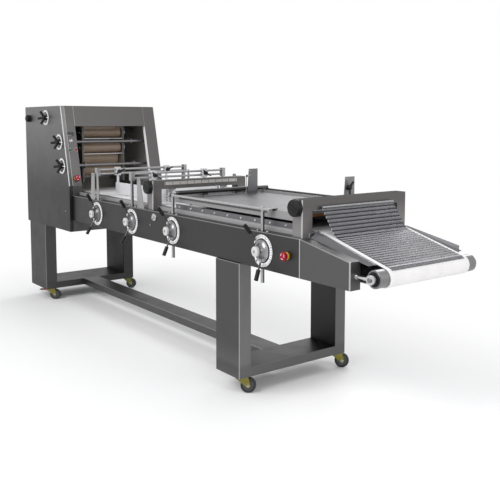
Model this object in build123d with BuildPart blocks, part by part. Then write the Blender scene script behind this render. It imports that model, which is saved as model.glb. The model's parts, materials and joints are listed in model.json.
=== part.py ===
from build123d import *
import math
import os

os.makedirs("parts", exist_ok=True)

# Lengths along the machine, from the back of the head to the end of the belt
head_length = 810
cover_length = 2409
nose_length = 307
end_reach = 130

# Head: heights below and above the table, width across, and how far its top stands back
apron_height = 80
kink_rise = 65
head_rise = 621
head_width = 740
front_setback = 131
panel_depth = 25

# Table: side covers, belt and bed
table_top = 835
table_recess = 21
cover_height = 175
cover_depth = 60
nose_end_height = 118
belt_margin = 99
belt_thickness = 3
belt_rise = 23
bed_sheet = 4
bed_inset = 53
strip_height = 30
knee_reach = 24
knee_radius = 60
end_roller_radius = 38
end_roller_drop = 117
drum_radius = 75
drum_setback = 212

# Leg frames and castors
leg_bottom = 86
crossbar_height = 48
belt_leg_back = 637
belt_leg_length = 201
belt_leg_overhang = 8
belt_leg_thickness = 73
head_leg_inset = 28
head_leg_length = 305
head_leg_recess = 5
head_leg_thickness = 85
stretcher_width = 124
foot_recess = 14
foot_seat = 6
castor_inset = 50
castor_plate = 5
castor_trail = 45
castor_turn = 50
wheel_radius = 39
wheel_width = 24
hub_width = 27.4
tread_round = 4.8
web_radius = 26.5
web_depth = 4
wheel_hub_radius = 14
fork_plate = 4
axle_radius = 4
king_pin = 8
swivel_radius = 28

# Height dials on the near cover, with their levers, shafts, pinions and racks
dial_leads = (392, 866, 1339)
last_dial_back = 264
dial_turns = (-4, 0, 12, 20)
dial_drop = 88
scale_radius = 75
scale_band = 17
scale_thickness = 2.5
scale_half_angle = 131
hub_radius = 52
hub_depth = 34
dial_knob_radius = 24
dial_knob_depth = 16
lever_foot = 28
lever_reach = 130
lever_out = 71
lever_tilt_foot = 12
lever_radius = 4.5
grip_radius = 10
grip_length = 50
shaft_radius = 10
pinion_teeth = 14
tooth_module = 2.5
tooth_addendum = 2.0
tooth_dedendum = 2.7
tooth_backlash = 0.5
pressure_angle = 20
pinion_width = 16
post_radius = 9
rack_line = 4
rack_teeth = 15

# Castor forks and the brake pedal
crown_drop = 1
pedal_back = 8
pedal_drop = 7
axle_boss = 11
pedal_pin = 3
pedal_length = 62

# Portals, the table's stop button and the ears, as they stand on the side covers
first_portal_lead = 1032
last_portal_back = 70
portal_length = 65
portal_inset = 16
portal_leg = 60
portal_height = 168
portal_beam = 50
stop_back = 87
stop_drop = 87
stop_stem = 9
ear_height = 175
ear_round = 8
wide_ear = (61, 43)
narrow_ear = (30, 20)
last_ear = (85, 33)
wide_ear_back = 12
narrow_ear_lead = 20
last_ear_lead = 94

# Take-up bolts through the nose covers
take_up_inset = 30
take_up_radius = 7

# Bed: its flanges, edge strips, ties and notches for the portals
bed_lead = 90
bed_end_gap = 45
bed_margin = 10
flange_sheet = 4
strip_lead = 1283
strip_end_back = 91
strip_inset = 6
tie_leads = (150, 640, 1110)
tie_backs = (659, 139)
tie_length = 40
tie_drop = 45
notch_gap = 1

# End roller and its eye bolts
end_roller_inset = 46
end_roller_chamfer = 1.5
stub_radius = 10
stub_inset = 15
eye_radius = 20
eye_width = 18
take_up_tail = 60
nut_radius = 13
nut_height = 10

# Drive drum and the pedestals that carry it
pedestal_inset = 50
pedestal_sheet = 12
drum_overlap = 12
drum_chamfer = 2
drum_shaft = 15
chain_wheel_radius = 60
chain_wheel_width = 10
shaft_overhang = 4

# Gap shafts, back from the head's front and down from its top; the knob, from its back
gap_handles = {"infeed": (400, 82), "upper": (165, 255), "lower": (122, 422)}
gap_shaft_radius = 11
knob_place = (93, 87)
knob_stem = 8
head_knob_radius = 25

# Front of the head: window margins, and the push buttons in from the near side and down
window_near_margin = 94
window_far_margin = 93
window_drop = 143
jamb_depth = 30
button_insets = {"start_button": (38, 309), "stop_button": (77, 309), "head_stop_button": (60, 506)}
button_stem = 6

# Hood and infeed chute
chute_setback = 380
chute_length = 136
chute_drop = 111

# Pedestals on the head's floor
pedestal_length = 130
pedestal_rise = 45

# Gear motor
motor_place = 250
motor_across = 120
motor_radius = 70
motor_length = 230
motor_ribs = 5
rib_width = 12
rib_height = 6
gear_case = (150, 170, 180)
case_round = 20
output_radius = 14
output_length = 60

# Sheeting rollers, their bearings and gears
sheeting_setback = 277
sheeting_drops = {"infeed": 190, "upper": 302, "lower": 470}
sheeting_radius = 37.5
sheeting_half = 150
sheeting_chamfer = 1
journal_radius = 12
backing_radius = 75
nip = 6
infeed_mate_rise = 24
cheek_gap = 5
cheek_sheet = 15
carrier_length = 60
carrier_height = 50
carrier_travel = 6
gear_radius = 34
gear_width = 12

# Roller frame and scrapers
cheek_margin = 18
cheek_bottom_drop = 551
cheek_top_drop = 116
cross_bar = 30
cross_bar_drop = 15
scraper_depth = 26
scraper_sheet = 5

# Gap handles, with cams, hubs and arms
cam_radius = 22
cam_throw = 8
cam_width = 10
gap_hub_radius = 19
gap_hub_depth = 20
gap_hub_round = 4
gap_arm_count = 4
gap_arm_turn = 8
gap_arm_foot = 8
gap_arm_reach = 46
gap_arm_out = 38
gap_arm_radius = 9
gap_scale_radius = 55
gap_scale_band = 12

# Head knob
head_knob_depth = 30
head_knob_round = 8
stem_inside = 20

# Push buttons and stops
button_radius = 11
button_proud = 8
stop_radius = 20
stop_neck = 14
stop_cap = 13
stem_depth = 22

# Hub and knob of a height dial
hub_rim = 6
hub_neck = 27
hub_sag = 5
knob_dome = 4

# Lift frame over the first part of the belt
gate_post_lift = 17
gate_rod_rises = (169, 195)
gate_rod_radius = 7
gate_head = (30, 24)
gate_head_margin = 14

# Side guides
guide_inset = 65
guide_sheet = 12
guide_rise = 10
guide_height = 74
guide_lead = 348
guide_length = 660
guide_block = (34, 30)
hanger_radius = 8

# Pressure board, tray, uprights, posts and rails
board_lead = 1283
board_end_back = 101
board_inset = 52
board_rise = 39
board_sheet = 24
tray_gap = 0.3
tray_lip = 13
tray_skirt = 22
first_upright_lead = 56
last_upright_back = 163
upright_insets = (133, 57)
upright_lean = 12
upright_height = 146
board_post_drop = 69
board_post_rise = 27
rail_rise = 17
rail_radius = 6
rail_tail = 55
tube_radius = 12
tube_rise = 29
lug_length = 30
lug_inset = 12

# Portal knobs and screws
knob_drop = 37
screw_radius = 8
portal_knob_radius = 38
portal_knob_depth = 28
portal_knob_round = 6

# Portal guides
nut_size = (28, 34)
nut_drop = 16
portal_guide_length = 240

# Wire mat
mat_inset = 13
mat_rod_radius = 6
mat_rod_drop = 39
mat_hook = 12
mat_wire = 3
mat_ribbon = 2
mat_pitch = 16
mat_ribbons = 5
mat_landing = 55
mat_bend = 60
mat_end_gap = 12

# Clearances: sheet gauge, the outer radius of its folds, running fits, and gaps between bodies
sheet = 3
fold = 3
running_fit = 0.05
slide_fit = 0.1
belt_seat = 0.1
gap = 0.3

# Places that follow from the sizes above
overall_length = head_length + cover_length + nose_length + end_reach
head_back = -overall_length / 2
head_front = head_back + head_length
cover_end = head_front + cover_length
nose_end = cover_end + nose_length
belt_end = overall_length / 2
head_half = head_width / 2
table_half = head_half - table_recess
table_width = 2 * table_half
belt_width = table_width - 2 * belt_margin
cover_bottom = table_top - cover_height
head_bottom = cover_bottom - apron_height
head_kink = table_top + kink_rise
head_top = table_top + head_rise
head_top_front = head_front - front_setback
head_inner = head_half - panel_depth
belt_top = table_top + belt_rise
portal_top = table_top + portal_height
belt_leg_start = cover_end - belt_leg_back
belt_leg_width = table_width + 2 * belt_leg_overhang
head_leg_width = head_width - 2 * head_leg_recess
end_roller_height = table_top - end_roller_drop
dial_height = table_top - dial_drop
stop_height = table_top - stop_drop
stop_along = cover_end - stop_back
dials = [head_front + lead for lead in dial_leads] + [cover_end - last_dial_back]
portals = [head_front + first_portal_lead, cover_end - last_portal_back]
portal_across = table_half - portal_inset
knob_height = portal_top - knob_drop
mat_rod_height = portal_top - mat_rod_drop
mat_half = belt_width / 2 - mat_inset
take_up_across = table_half - take_up_inset
end_roller_half = table_half - end_roller_inset
stub_end = table_half - stub_inset
bed_half = table_half - bed_inset
tie_bottom = table_top - tie_drop
ties = [head_front + lead for lead in tie_leads] + [cover_end - back for back in tie_backs]
strip_span = (head_front + strip_lead, cover_end - strip_end_back)
pedestal_across = head_inner - pedestal_inset
drum_half = belt_width / 2 + drum_overlap
gap_shafts = {}
for name, (back, drop) in gap_handles.items():
    gap_shafts[name] = (head_front - back, head_top - drop)
head_knob_center = (head_back + knob_place[0], head_top - knob_place[1])
window_near = window_near_margin - head_half
window_far = head_half - window_far_margin
window_top = head_top - window_drop
button_places = {}
for name, (inset, drop) in button_insets.items():
    button_places[name] = (inset - head_half, head_top - drop)
chute_bottom = head_top - chute_drop
chute_half = sheeting_half
sheeting_along = head_front - sheeting_setback
sheeting_heights = {name: head_top - drop for name, drop in sheeting_drops.items()}
cheek_across = sheeting_half + cheek_gap
cheek_bottom = head_top - cheek_bottom_drop
cheek_top = head_top - cheek_top_drop
gate_post_foot = cover_bottom + gate_post_lift
gate_rod_heights = [table_top + rise for rise in gate_rod_rises]
guide_across = belt_width / 2 - guide_inset
guide_bottom = belt_top + guide_rise
board_start = head_front + board_lead
board_end = cover_end - board_end_back
board_half = table_half - board_inset
board_bottom = belt_top + board_rise
board_top = board_bottom + board_sheet
uprights = (board_start + first_upright_lead, board_end - last_upright_back)
upright_across = [board_half - inset for inset in upright_insets]
board_post_foot = cover_bottom - board_post_drop
board_post_top = board_top + board_post_rise
rail_height = board_top + rail_rise
tube_height = board_top + tube_rise
lever_run = lever_reach - lever_foot
lever_lean = math.atan2(lever_out - lever_tilt_foot, lever_run)
near_reach = table_half + lever_out + grip_radius * math.cos(lever_lean)
trail_turn = math.radians(castor_turn)
wheel_reach = (wheel_radius - tread_round) * math.sin(trail_turn) + tread_round
wheel_reach += (wheel_width / 2 - tread_round) * math.cos(trail_turn)
head_leg_middle = (head_leg_width - head_leg_thickness) / 2
far_reach = head_leg_middle + castor_trail * math.sin(trail_turn) + wheel_reach
middle = (near_reach - far_reach) / 2
crossbar_top = leg_bottom + crossbar_height
seat_bottom = leg_bottom + foot_recess
pitch_radius = tooth_module * pinion_teeth / 2
post_shift = pitch_radius + rack_line
post_across = table_half - 2 * post_radius


def write(piece, name):
    """Label a finished piece and write its file."""
    piece.part.label = name
    export_step(piece.part, f"parts/{name}.step")


def side_plane(across):
    """Upright plane along the machine, facing the operator: local x along, local y up."""
    return Plane(origin=(0, middle + across, 0), x_dir=(1, 0, 0), z_dir=(0, -1, 0))


def cross_plane(along):
    """Upright plane across the machine, facing the belt end: local x across, local y up."""
    return Plane(origin=(along, middle, 0), x_dir=(0, 1, 0), z_dir=(1, 0, 0))


def level_plane(height):
    """Level plane: local x along the machine, local y across it from the middle."""
    return Plane(origin=(0, middle, height), x_dir=(1, 0, 0), z_dir=(0, 0, 1))


def block(along, across, up, mode=Mode.ADD):
    """Square block between pairs of limits along, across and up."""
    with BuildSketch(level_plane(up[0])) as outline:
        with Locations(((along[0] + along[1]) / 2, (across[0] + across[1]) / 2)):
            Rectangle(along[1] - along[0], across[1] - across[0])
    extrude(outline.sketch, amount=up[1] - up[0], mode=mode)


def rod_across(along, up, across, radius, mode=Mode.ADD):
    """Round bar across the machine between two limits."""
    with BuildSketch(side_plane(across[1])) as outline:
        with Locations((along, up)):
            Circle(radius)
    extrude(outline.sketch, amount=across[1] - across[0], mode=mode)


def rod_up(along, across, up, radius, mode=Mode.ADD):
    """Upright round bar between two heights."""
    with BuildSketch(level_plane(up[0])) as outline:
        with Locations((along, across)):
            Circle(radius)
    extrude(outline.sketch, amount=up[1] - up[0], mode=mode)


def leg_frame(start, length, width, thickness, top):
    """Two box legs on a crossbar, welded of sheet, open under the table and under the feet."""
    half = width / 2
    inner = half - thickness
    pivot = start + length - castor_inset
    with BuildPart() as frame:
        with BuildSketch(cross_plane(start)):
            with Locations((0, (leg_bottom + top) / 2)):
                Rectangle(width, top - leg_bottom)
            with Locations((0, (crossbar_top + top) / 2)):
                Rectangle(2 * inner, top - crossbar_top, mode=Mode.SUBTRACT)
        extrude(amount=length)
        fillet(frame.edges().filter_by(Axis.Z), fold)
        with BuildSketch(cross_plane(start + sheet)):
            for side in (-1, 1):
                with Locations((side * (half - thickness / 2), (seat_bottom + foot_seat + top) / 2)):
                    Rectangle(thickness - 2 * sheet, top - seat_bottom - foot_seat)
            with Locations((0, leg_bottom + crossbar_height / 2)):
                Rectangle(2 * inner, crossbar_height - 2 * sheet)
            with Locations((0, (seat_bottom + foot_seat + crossbar_top - sheet) / 2)):
                Rectangle(width - 2 * sheet, crossbar_top - sheet - seat_bottom - foot_seat)
        extrude(amount=length - 2 * sheet, mode=Mode.SUBTRACT)
        for side in (-1, 1):
            across = side * (half - thickness / 2)
            room = thickness / 2 - sheet
            block(
                (start + sheet, start + length - sheet),
                (across - room, across + room),
                (leg_bottom, seat_bottom),
                Mode.SUBTRACT,
            )
            rod_up(pivot, across, (seat_bottom - castor_plate, seat_bottom), swivel_radius)
            rod_up(
                pivot,
                across,
                (seat_bottom - castor_plate, seat_bottom + foot_seat),
                king_pin + running_fit,
                Mode.SUBTRACT,
            )
    return frame


head_leg_start = head_back + head_leg_inset
head_leg_end = head_leg_start + head_leg_length

belt_leg_frame = leg_frame(
    belt_leg_start, belt_leg_length, belt_leg_width, belt_leg_thickness, cover_bottom
)
write(belt_leg_frame, "belt_leg_frame")
head_leg_frame = leg_frame(
    head_leg_start, head_leg_length, head_leg_width, head_leg_thickness, head_bottom
)
write(head_leg_frame, "head_leg_frame")

# Low stretcher: a square tube between the two crossbars
with BuildPart() as stretcher:
    with BuildSketch(cross_plane(head_leg_end)):
        with Locations((0, leg_bottom + crossbar_height / 2)):
            Rectangle(stretcher_width, crossbar_height)
            Rectangle(stretcher_width - 2 * sheet, crossbar_height - 2 * sheet, mode=Mode.SUBTRACT)
    extrude(amount=belt_leg_start - head_leg_end)
write(stretcher, "stretcher")

# Castors: the pivot stands in the leg's foot, the wheel trails behind it
fork_top = seat_bottom - castor_plate - gap
crown_top = leg_bottom - crown_drop
crown_bottom = crown_top - fork_plate
cheek_inner = hub_width / 2 + gap
cheek_outer = cheek_inner + fork_plate
pedal_pivot = (-pedal_back, crown_bottom - pedal_drop)
crown_lead = castor_trail / 4
trail_dir = (math.cos(trail_turn), math.sin(trail_turn), 0)
trail_side = (-trail_dir[1], trail_dir[0], 0)


def castor_plane(pivot, aside):
    """Upright plane through a castor along its trail, moved aside from its middle."""
    origin = (pivot[0] + trail_side[0] * aside, middle + pivot[1] + trail_side[1] * aside, 0)
    return Plane(origin=origin, x_dir=trail_dir, z_dir=(-trail_side[0], -trail_side[1], 0))


def castor_fork(pivot, braked):
    """Swivel head with its king pin, two cheeks, the axle bolt, and the brake's pin where it has one."""
    with BuildPart() as fork:
        rod_up(pivot[0], pivot[1], (crown_bottom, fork_top), swivel_radius)
        rod_up(pivot[0], pivot[1], (fork_top, seat_bottom + foot_seat / 2), king_pin)
        for aside in (cheek_outer, -cheek_inner):
            with BuildSketch(castor_plane(pivot, aside)):
                with Locations((castor_trail, wheel_radius)):
                    Circle(axle_boss)
                with Locations((crown_lead, crown_top - fork_plate / 2)):
                    Rectangle(2 * swivel_radius + crown_lead, fork_plate)
                make_hull()
            extrude(amount=fork_plate)
        with BuildSketch(castor_plane(pivot, cheek_outer)):
            with Locations((crown_lead, crown_top - fork_plate / 2)):
                Rectangle(2 * swivel_radius + crown_lead, fork_plate)
        extrude(amount=2 * cheek_outer)
        with BuildSketch(castor_plane(pivot, cheek_outer + fork_plate)):
            with Locations((castor_trail, wheel_radius)):
                Circle(axle_radius)
        extrude(amount=2 * (cheek_outer + fork_plate))
        if braked:
            with BuildSketch(castor_plane(pivot, cheek_outer)):
                with Locations(pedal_pivot):
                    Circle(pedal_pin)
            extrude(amount=2 * cheek_outer)
    return fork


def castor_wheel(pivot):
    """Wheel with a rounded tread, a dished web and a longer hub."""
    with BuildPart() as wheel:
        with BuildSketch(castor_plane(pivot, 0)):
            with Locations((castor_trail, wheel_radius)):
                Circle(wheel_radius)
        extrude(amount=wheel_width / 2, both=True)
        fillet(wheel.edges().filter_by(GeomType.CIRCLE), tread_round)
        for aside, depth in ((wheel_width / 2, 1), (-wheel_width / 2, -1)):
            with BuildSketch(castor_plane(pivot, aside)):
                with Locations((castor_trail, wheel_radius)):
                    Circle(web_radius)
                    Circle(wheel_hub_radius, mode=Mode.SUBTRACT)
            extrude(amount=depth * web_depth, mode=Mode.SUBTRACT)
        with BuildSketch(castor_plane(pivot, 0)):
            with Locations((castor_trail, wheel_radius)):
                Circle(wheel_hub_radius)
        extrude(amount=hub_width / 2, both=True)
        with BuildSketch(castor_plane(pivot, 0)):
            with Locations((castor_trail, wheel_radius)):
                Circle(axle_radius + running_fit)
        extrude(amount=hub_width, both=True, mode=Mode.SUBTRACT)
    return wheel


belt_leg_middle = (belt_leg_width - belt_leg_thickness) / 2
belt_castor_along = belt_leg_start + belt_leg_length - castor_inset
head_castor_along = head_leg_end - castor_inset
castors = {
    "belt_near": (belt_castor_along, -belt_leg_middle),
    "belt_far": (belt_castor_along, belt_leg_middle),
    "head_near": (head_castor_along, -head_leg_middle),
    "head_far": (head_castor_along, head_leg_middle),
}
for place, pivot in castors.items():
    fork = castor_fork(pivot, place == "head_near")
    write(fork, f"{place}_castor_fork")
    wheel = castor_wheel(pivot)
    write(wheel, f"{place}_castor_wheel")

# Brake pedal of the near castor under the head: a lever on its pin, widening to the pad
with BuildPart() as brake_pedal:
    with BuildSketch(castor_plane(castors["head_near"], cheek_inner - gap)):
        with Locations(pedal_pivot):
            Circle(2 * pedal_pin)
        with Locations((pedal_pivot[0] - pedal_length, pedal_pivot[1])):
            Circle(pedal_pin)
        make_hull()
        with Locations(pedal_pivot):
            Circle(pedal_pin + running_fit, mode=Mode.SUBTRACT)
    extrude(amount=2 * (cheek_inner - gap))
write(brake_pedal, "brake_pedal")

# Side covers of the table: channels that open inwards, bored for the shafts and the posts
posts = [along - post_shift for along in dials]
belt_under = belt_top - belt_thickness
bed_top = belt_under - belt_seat
bed_under = bed_top - bed_sheet

ears = (
    (posts[0] - wide_ear_back, -1, wide_ear),
    (posts[0] + narrow_ear_lead, 1, narrow_ear),
    (posts[1] + last_ear_lead, 1, last_ear),
)


def side_cover(side):
    """One channel with three tapered ears on its top, the near one with the stop button's hole."""
    cover_middle = table_top - cover_height / 2
    with BuildPart() as cover:
        with BuildSketch(cross_plane(head_front)):
            with Locations((side * (table_half - cover_depth / 2), cover_middle)):
                Rectangle(cover_depth, cover_height)
            with Locations((side * (table_half - sheet - cover_depth / 2), cover_middle)):
                Rectangle(cover_depth, cover_height - 2 * sheet, mode=Mode.SUBTRACT)
        extrude(amount=cover_length)
        fillet(cover.edges().filter_by(Axis.X).sort_by(Axis.Y)[:: -side][:2], fold)
        for straight_edge, lean, (foot_width, top_width) in ears:
            with BuildSketch(side_plane(side * table_half)) as ear:
                with BuildLine():
                    Polyline(
                        (straight_edge, table_top - sheet),
                        (straight_edge + lean * foot_width, table_top - sheet),
                        (straight_edge + lean * top_width, table_top + ear_height),
                        (straight_edge, table_top + ear_height),
                        close=True,
                    )
                make_face()
                fillet(ear.vertices().group_by(Axis.Y)[-1], ear_round)
            extrude(amount=side * sheet)
        with BuildSketch(side_plane(side * table_half)):
            with Locations([(along, dial_height) for along in dials]):
                Circle(shaft_radius + running_fit)
            if side < 0:
                with Locations((stop_along, stop_height)):
                    Circle(stop_stem + slide_fit)
        extrude(amount=2 * sheet, both=True, mode=Mode.SUBTRACT)
        with BuildSketch(level_plane(table_top)):
            with Locations([(along, side * post_across) for along in posts]):
                Circle(post_radius + slide_fit)
        extrude(amount=-2 * sheet, mode=Mode.SUBTRACT)
        with BuildSketch(level_plane(cover_bottom)):
            with Locations([(along, side * post_across) for along in posts[2:]]):
                Circle(post_radius + slide_fit)
        extrude(amount=2 * sheet, mode=Mode.SUBTRACT)
    return cover


near_side_cover = side_cover(-1)
write(near_side_cover, "near_side_cover")
far_side_cover = side_cover(1)
write(far_side_cover, "far_side_cover")

# Nose covers: the sloping ends of the sides, closed at the end and open inwards


def nose_outline(plane, inset):
    """Side of a nose, drawn in by an inset all round."""
    with BuildSketch(plane) as outline:
        with BuildLine():
            Polyline(
                (cover_end, cover_bottom),
                (nose_end, cover_bottom),
                (nose_end, cover_bottom + nose_end_height),
                (cover_end, table_top),
                close=True,
            )
        make_face()
        if inset:
            offset(amount=-inset, mode=Mode.REPLACE)
    return outline.sketch


with BuildPart() as nose_covers:
    for side in (-1, 1):
        outer = side * table_half
        extrude(nose_outline(side_plane(outer), 0), amount=side * cover_depth)
        fillet(nose_covers.faces().sort_by(Axis.Y)[:: -side][0].edges(), fold)
        inner = side * (table_half - sheet)
        extrude(nose_outline(side_plane(inner), sheet), amount=side * cover_depth, mode=Mode.SUBTRACT)
    with BuildSketch(cross_plane(nose_end)):
        with Locations((-take_up_across, end_roller_height), (take_up_across, end_roller_height)):
            Circle(take_up_radius + gap)
    extrude(amount=-2 * sheet, mode=Mode.SUBTRACT)
write(nose_covers, "nose_covers")

# Belt: an endless band round the drum, the bed's knee and the end roller
drum_center = (head_front - drum_setback, belt_under - gap - drum_radius)
knee_center = (cover_end + knee_reach, bed_top - knee_radius)
end_center = (belt_end - belt_thickness - gap - end_roller_radius, end_roller_height)


def belt_outline(thickness):
    """Closed way of the belt, as seen from the side, at a thickness from its inner face."""
    with BuildSketch(side_plane(belt_width / 2)) as outline:
        with Locations(drum_center):
            Circle(drum_radius + gap + thickness)
        with Locations(knee_center):
            Circle(knee_radius + belt_seat + thickness)
        with Locations(end_center):
            Circle(end_roller_radius + gap + thickness)
        make_hull()
    return outline.sketch


with BuildPart() as belt:
    extrude(belt_outline(belt_thickness), amount=belt_width)
    extrude(belt_outline(0), amount=belt_width, mode=Mode.SUBTRACT)
write(belt, "belt")

# Bed: a sheet under the belt that bends down over the knee, with flanges on the covers,
# edge strips beside the pressure board, and ties between the two sides
knee_to_end = (end_center[0] - knee_center[0], end_center[1] - knee_center[1])
radius_step = knee_radius + belt_seat - end_roller_radius - gap
tangent_turn = math.acos(radius_step / math.hypot(*knee_to_end))
slope = math.pi / 2 - math.atan2(knee_to_end[1], knee_to_end[0]) - tangent_turn
slope_length = math.sqrt(math.hypot(*knee_to_end) ** 2 - radius_step**2) - bed_end_gap
narrow_half = belt_width / 2 + bed_margin


def knee_point(radius, turn):
    """Point of the knee at a radius, turned down from its top."""
    return (knee_center[0] + radius * math.sin(turn), knee_center[1] + radius * math.cos(turn))


def down_slope(point):
    """Point further down the slope, at the bed's end."""
    return (point[0] + slope_length * math.cos(slope), point[1] - slope_length * math.sin(slope))


with BuildPart() as belt_bed:
    knee_inner = knee_radius - bed_sheet
    with BuildSketch(side_plane(narrow_half)):
        with BuildLine():
            bed_start = drum_center[0] + bed_lead
            Line((bed_start, bed_under), (bed_start, bed_top))
            Line((bed_start, bed_top), knee_point(knee_radius, 0))
            ThreePointArc(
                knee_point(knee_radius, 0), knee_point(knee_radius, slope / 2), knee_point(knee_radius, slope)
            )
            Line(knee_point(knee_radius, slope), down_slope(knee_point(knee_radius, slope)))
            Line(down_slope(knee_point(knee_radius, slope)), down_slope(knee_point(knee_inner, slope)))
            Line(down_slope(knee_point(knee_inner, slope)), knee_point(knee_inner, slope))
            ThreePointArc(
                knee_point(knee_inner, slope), knee_point(knee_inner, slope / 2), knee_point(knee_inner, 0)
            )
            Line(knee_point(knee_inner, 0), (bed_start, bed_under))
        make_face()
    extrude(amount=2 * narrow_half)
    block((head_front, cover_end), (-bed_half, bed_half), (bed_under, bed_top))
    for side in (-1, 1):
        flange = sorted((side * (bed_half - flange_sheet), side * bed_half))
        block((head_front, cover_end), flange, (table_top, bed_top))
        strip = sorted((side * (bed_half - strip_inset - flange_sheet), side * (bed_half - strip_inset)))
        block(strip_span, strip, (bed_top, bed_top + strip_height))
        for along in portals:
            notch = sorted((side * (portal_across - portal_leg - notch_gap), side * (bed_half + notch_gap)))
            block(
                (along - notch_gap, along + portal_length + notch_gap),
                notch,
                (table_top, bed_top + strip_height),
                Mode.SUBTRACT,
            )
    for tie_start in ties:
        block((tie_start, tie_start + tie_length), (-narrow_half, narrow_half), (tie_bottom, bed_under))
        block(
            (tie_start, tie_start + tie_length),
            (sheet - table_half, table_half - sheet),
            (tie_bottom, table_top - sheet),
        )
write(belt_bed, "belt_bed")

# End roller on stub shafts, held by two take-up eye bolts with a nut on each side of the nose

with BuildPart() as end_roller:
    rod_across(end_center[0], end_center[1], (-end_roller_half, end_roller_half), end_roller_radius)
    rod_across(end_center[0], end_center[1], (-stub_end, stub_end), stub_radius)
    chamfer(end_roller.edges().filter_by(GeomType.CIRCLE), end_roller_chamfer)
write(end_roller, "end_roller")

with BuildPart() as take_up_bolts:
    for side in (-1, 1):
        eye_across = side * take_up_across
        with BuildSketch(cross_plane(nose_end - take_up_tail)):
            with Locations((eye_across, end_roller_height)):
                Circle(take_up_radius)
        extrude(amount=end_center[0] - nose_end + take_up_tail)
        for nut_start in (nose_end, nose_end - sheet - nut_height):
            with BuildSketch(cross_plane(nut_start)):
                with Locations((eye_across, end_roller_height)):
                    RegularPolygon(nut_radius, 6)
            extrude(amount=nut_height)
        eye_limits = (eye_across - eye_width / 2, eye_across + eye_width / 2)
        rod_across(end_center[0], end_center[1], eye_limits, eye_radius)
        rod_across(end_center[0], end_center[1], eye_limits, stub_radius + running_fit, Mode.SUBTRACT)
write(take_up_bolts, "take_up_bolts")

# Drive drum of the belt inside the head, on a shaft between two pedestals, with its chain wheel
pedestal_face = pedestal_across + pedestal_sheet

with BuildPart() as drive_drum:
    rod_across(drum_center[0], drum_center[1], (-drum_half, drum_half), drum_radius)
    chamfer(drive_drum.edges().filter_by(GeomType.CIRCLE), drum_chamfer)
    chain_wheel_start = pedestal_face + shaft_overhang
    chain_wheel_end = chain_wheel_start + chain_wheel_width
    rod_across(drum_center[0], drum_center[1], (-chain_wheel_start, chain_wheel_end), drum_shaft)
    rod_across(drum_center[0], drum_center[1], (chain_wheel_start, chain_wheel_end), chain_wheel_radius)
write(drive_drum, "drive_drum")

# Head: two pans with sloping fronts, bored for the gap shafts and the knob


def head_outline(plane, inset):
    """Side of the head, drawn in by an inset all round."""
    with BuildSketch(plane) as outline:
        with BuildLine():
            Polyline(
                (head_back, head_bottom),
                (head_front, head_bottom),
                (head_front, head_kink),
                (head_top_front, head_top),
                (head_back, head_top),
                close=True,
            )
        make_face()
        if inset:
            offset(amount=-inset, mode=Mode.REPLACE)
    return outline.sketch


def head_side(side):
    """One pan, open inwards."""
    with BuildPart() as panel:
        extrude(head_outline(side_plane(side * head_half), 0), amount=side * panel_depth)
        fillet(panel.faces().sort_by(Axis.Y)[:: -side][0].edges(), fold)
        inner = side * (head_half - sheet)
        extrude(head_outline(side_plane(inner), sheet), amount=side * panel_depth, mode=Mode.SUBTRACT)
        with BuildSketch(side_plane(side * head_half)):
            with Locations(*gap_shafts.values()):
                Circle(gap_shaft_radius + running_fit)
            if side < 0:
                with Locations(head_knob_center):
                    Circle(knob_stem + running_fit)
        extrude(amount=2 * sheet, both=True, mode=Mode.SUBTRACT)
    return panel


head_near_side = head_side(-1)
write(head_near_side, "head_near_side")
head_far_side = head_side(1)
write(head_far_side, "head_far_side")

# Front frame: a folded sheet with a window over the belt, jambs along the window and push-button holes
front_lean = math.atan2(head_front - head_top_front, head_top - head_kink)
front_normal = (math.cos(front_lean), 0, math.sin(front_lean))


def front_along(height):
    """Where the front of the head stands at a height."""
    if height < head_kink:
        return head_front
    return head_front - (height - head_kink) * math.tan(front_lean)


def front_plane(across, height, proud):
    """Plane on the sloping front, looking out of it, proud of its face."""
    origin = (
        front_along(height) + proud * front_normal[0],
        middle + across,
        height + proud * front_normal[2],
    )
    return Plane(origin=origin, x_dir=(0, 1, 0), z_dir=front_normal)


def front_strip(across, depth):
    """Outline of the front from the cover's top to the head's top, a depth thick, on a side plane."""
    slant = depth / math.cos(front_lean)
    knee_shift = depth * math.tan(front_lean / 2)
    with BuildSketch(side_plane(across)) as outline:
        with BuildLine():
            Polyline(
                (head_front, table_top),
                (head_front, head_kink),
                (head_top_front, head_top),
                (head_top_front - slant, head_top),
                (head_front - depth, head_kink - knee_shift),
                (head_front - depth, table_top),
                close=True,
            )
        make_face()
    return outline.sketch


def stem_radius(name):
    """The stops stand on a thicker stem than the plain buttons."""
    return stop_stem if name == "head_stop_button" else button_stem


with BuildPart() as head_front_frame:
    front_span = (head_top_front - 2 * jamb_depth, head_front + sheet)
    for edge in (window_near, window_far + sheet):
        extrude(front_strip(edge, jamb_depth), amount=sheet)
    block(front_span, (window_near - sheet, window_far + sheet), (window_top, head_top), Mode.SUBTRACT)
    extrude(front_strip(head_inner, sheet), amount=2 * head_inner)
    block(front_span, (window_near, window_far), (table_top, window_top), Mode.SUBTRACT)
    for name, (across, height) in button_places.items():
        with BuildSketch(front_plane(across, height, 0)):
            Circle(stem_radius(name) + slide_fit)
        extrude(amount=2 * sheet, both=True, mode=Mode.SUBTRACT)
write(head_front_frame, "head_front_frame")

# Hood: top and back in one folded sheet, with the infeed chute through the top
hood_front = front_along(head_top) - sheet / math.cos(front_lean)

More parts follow.
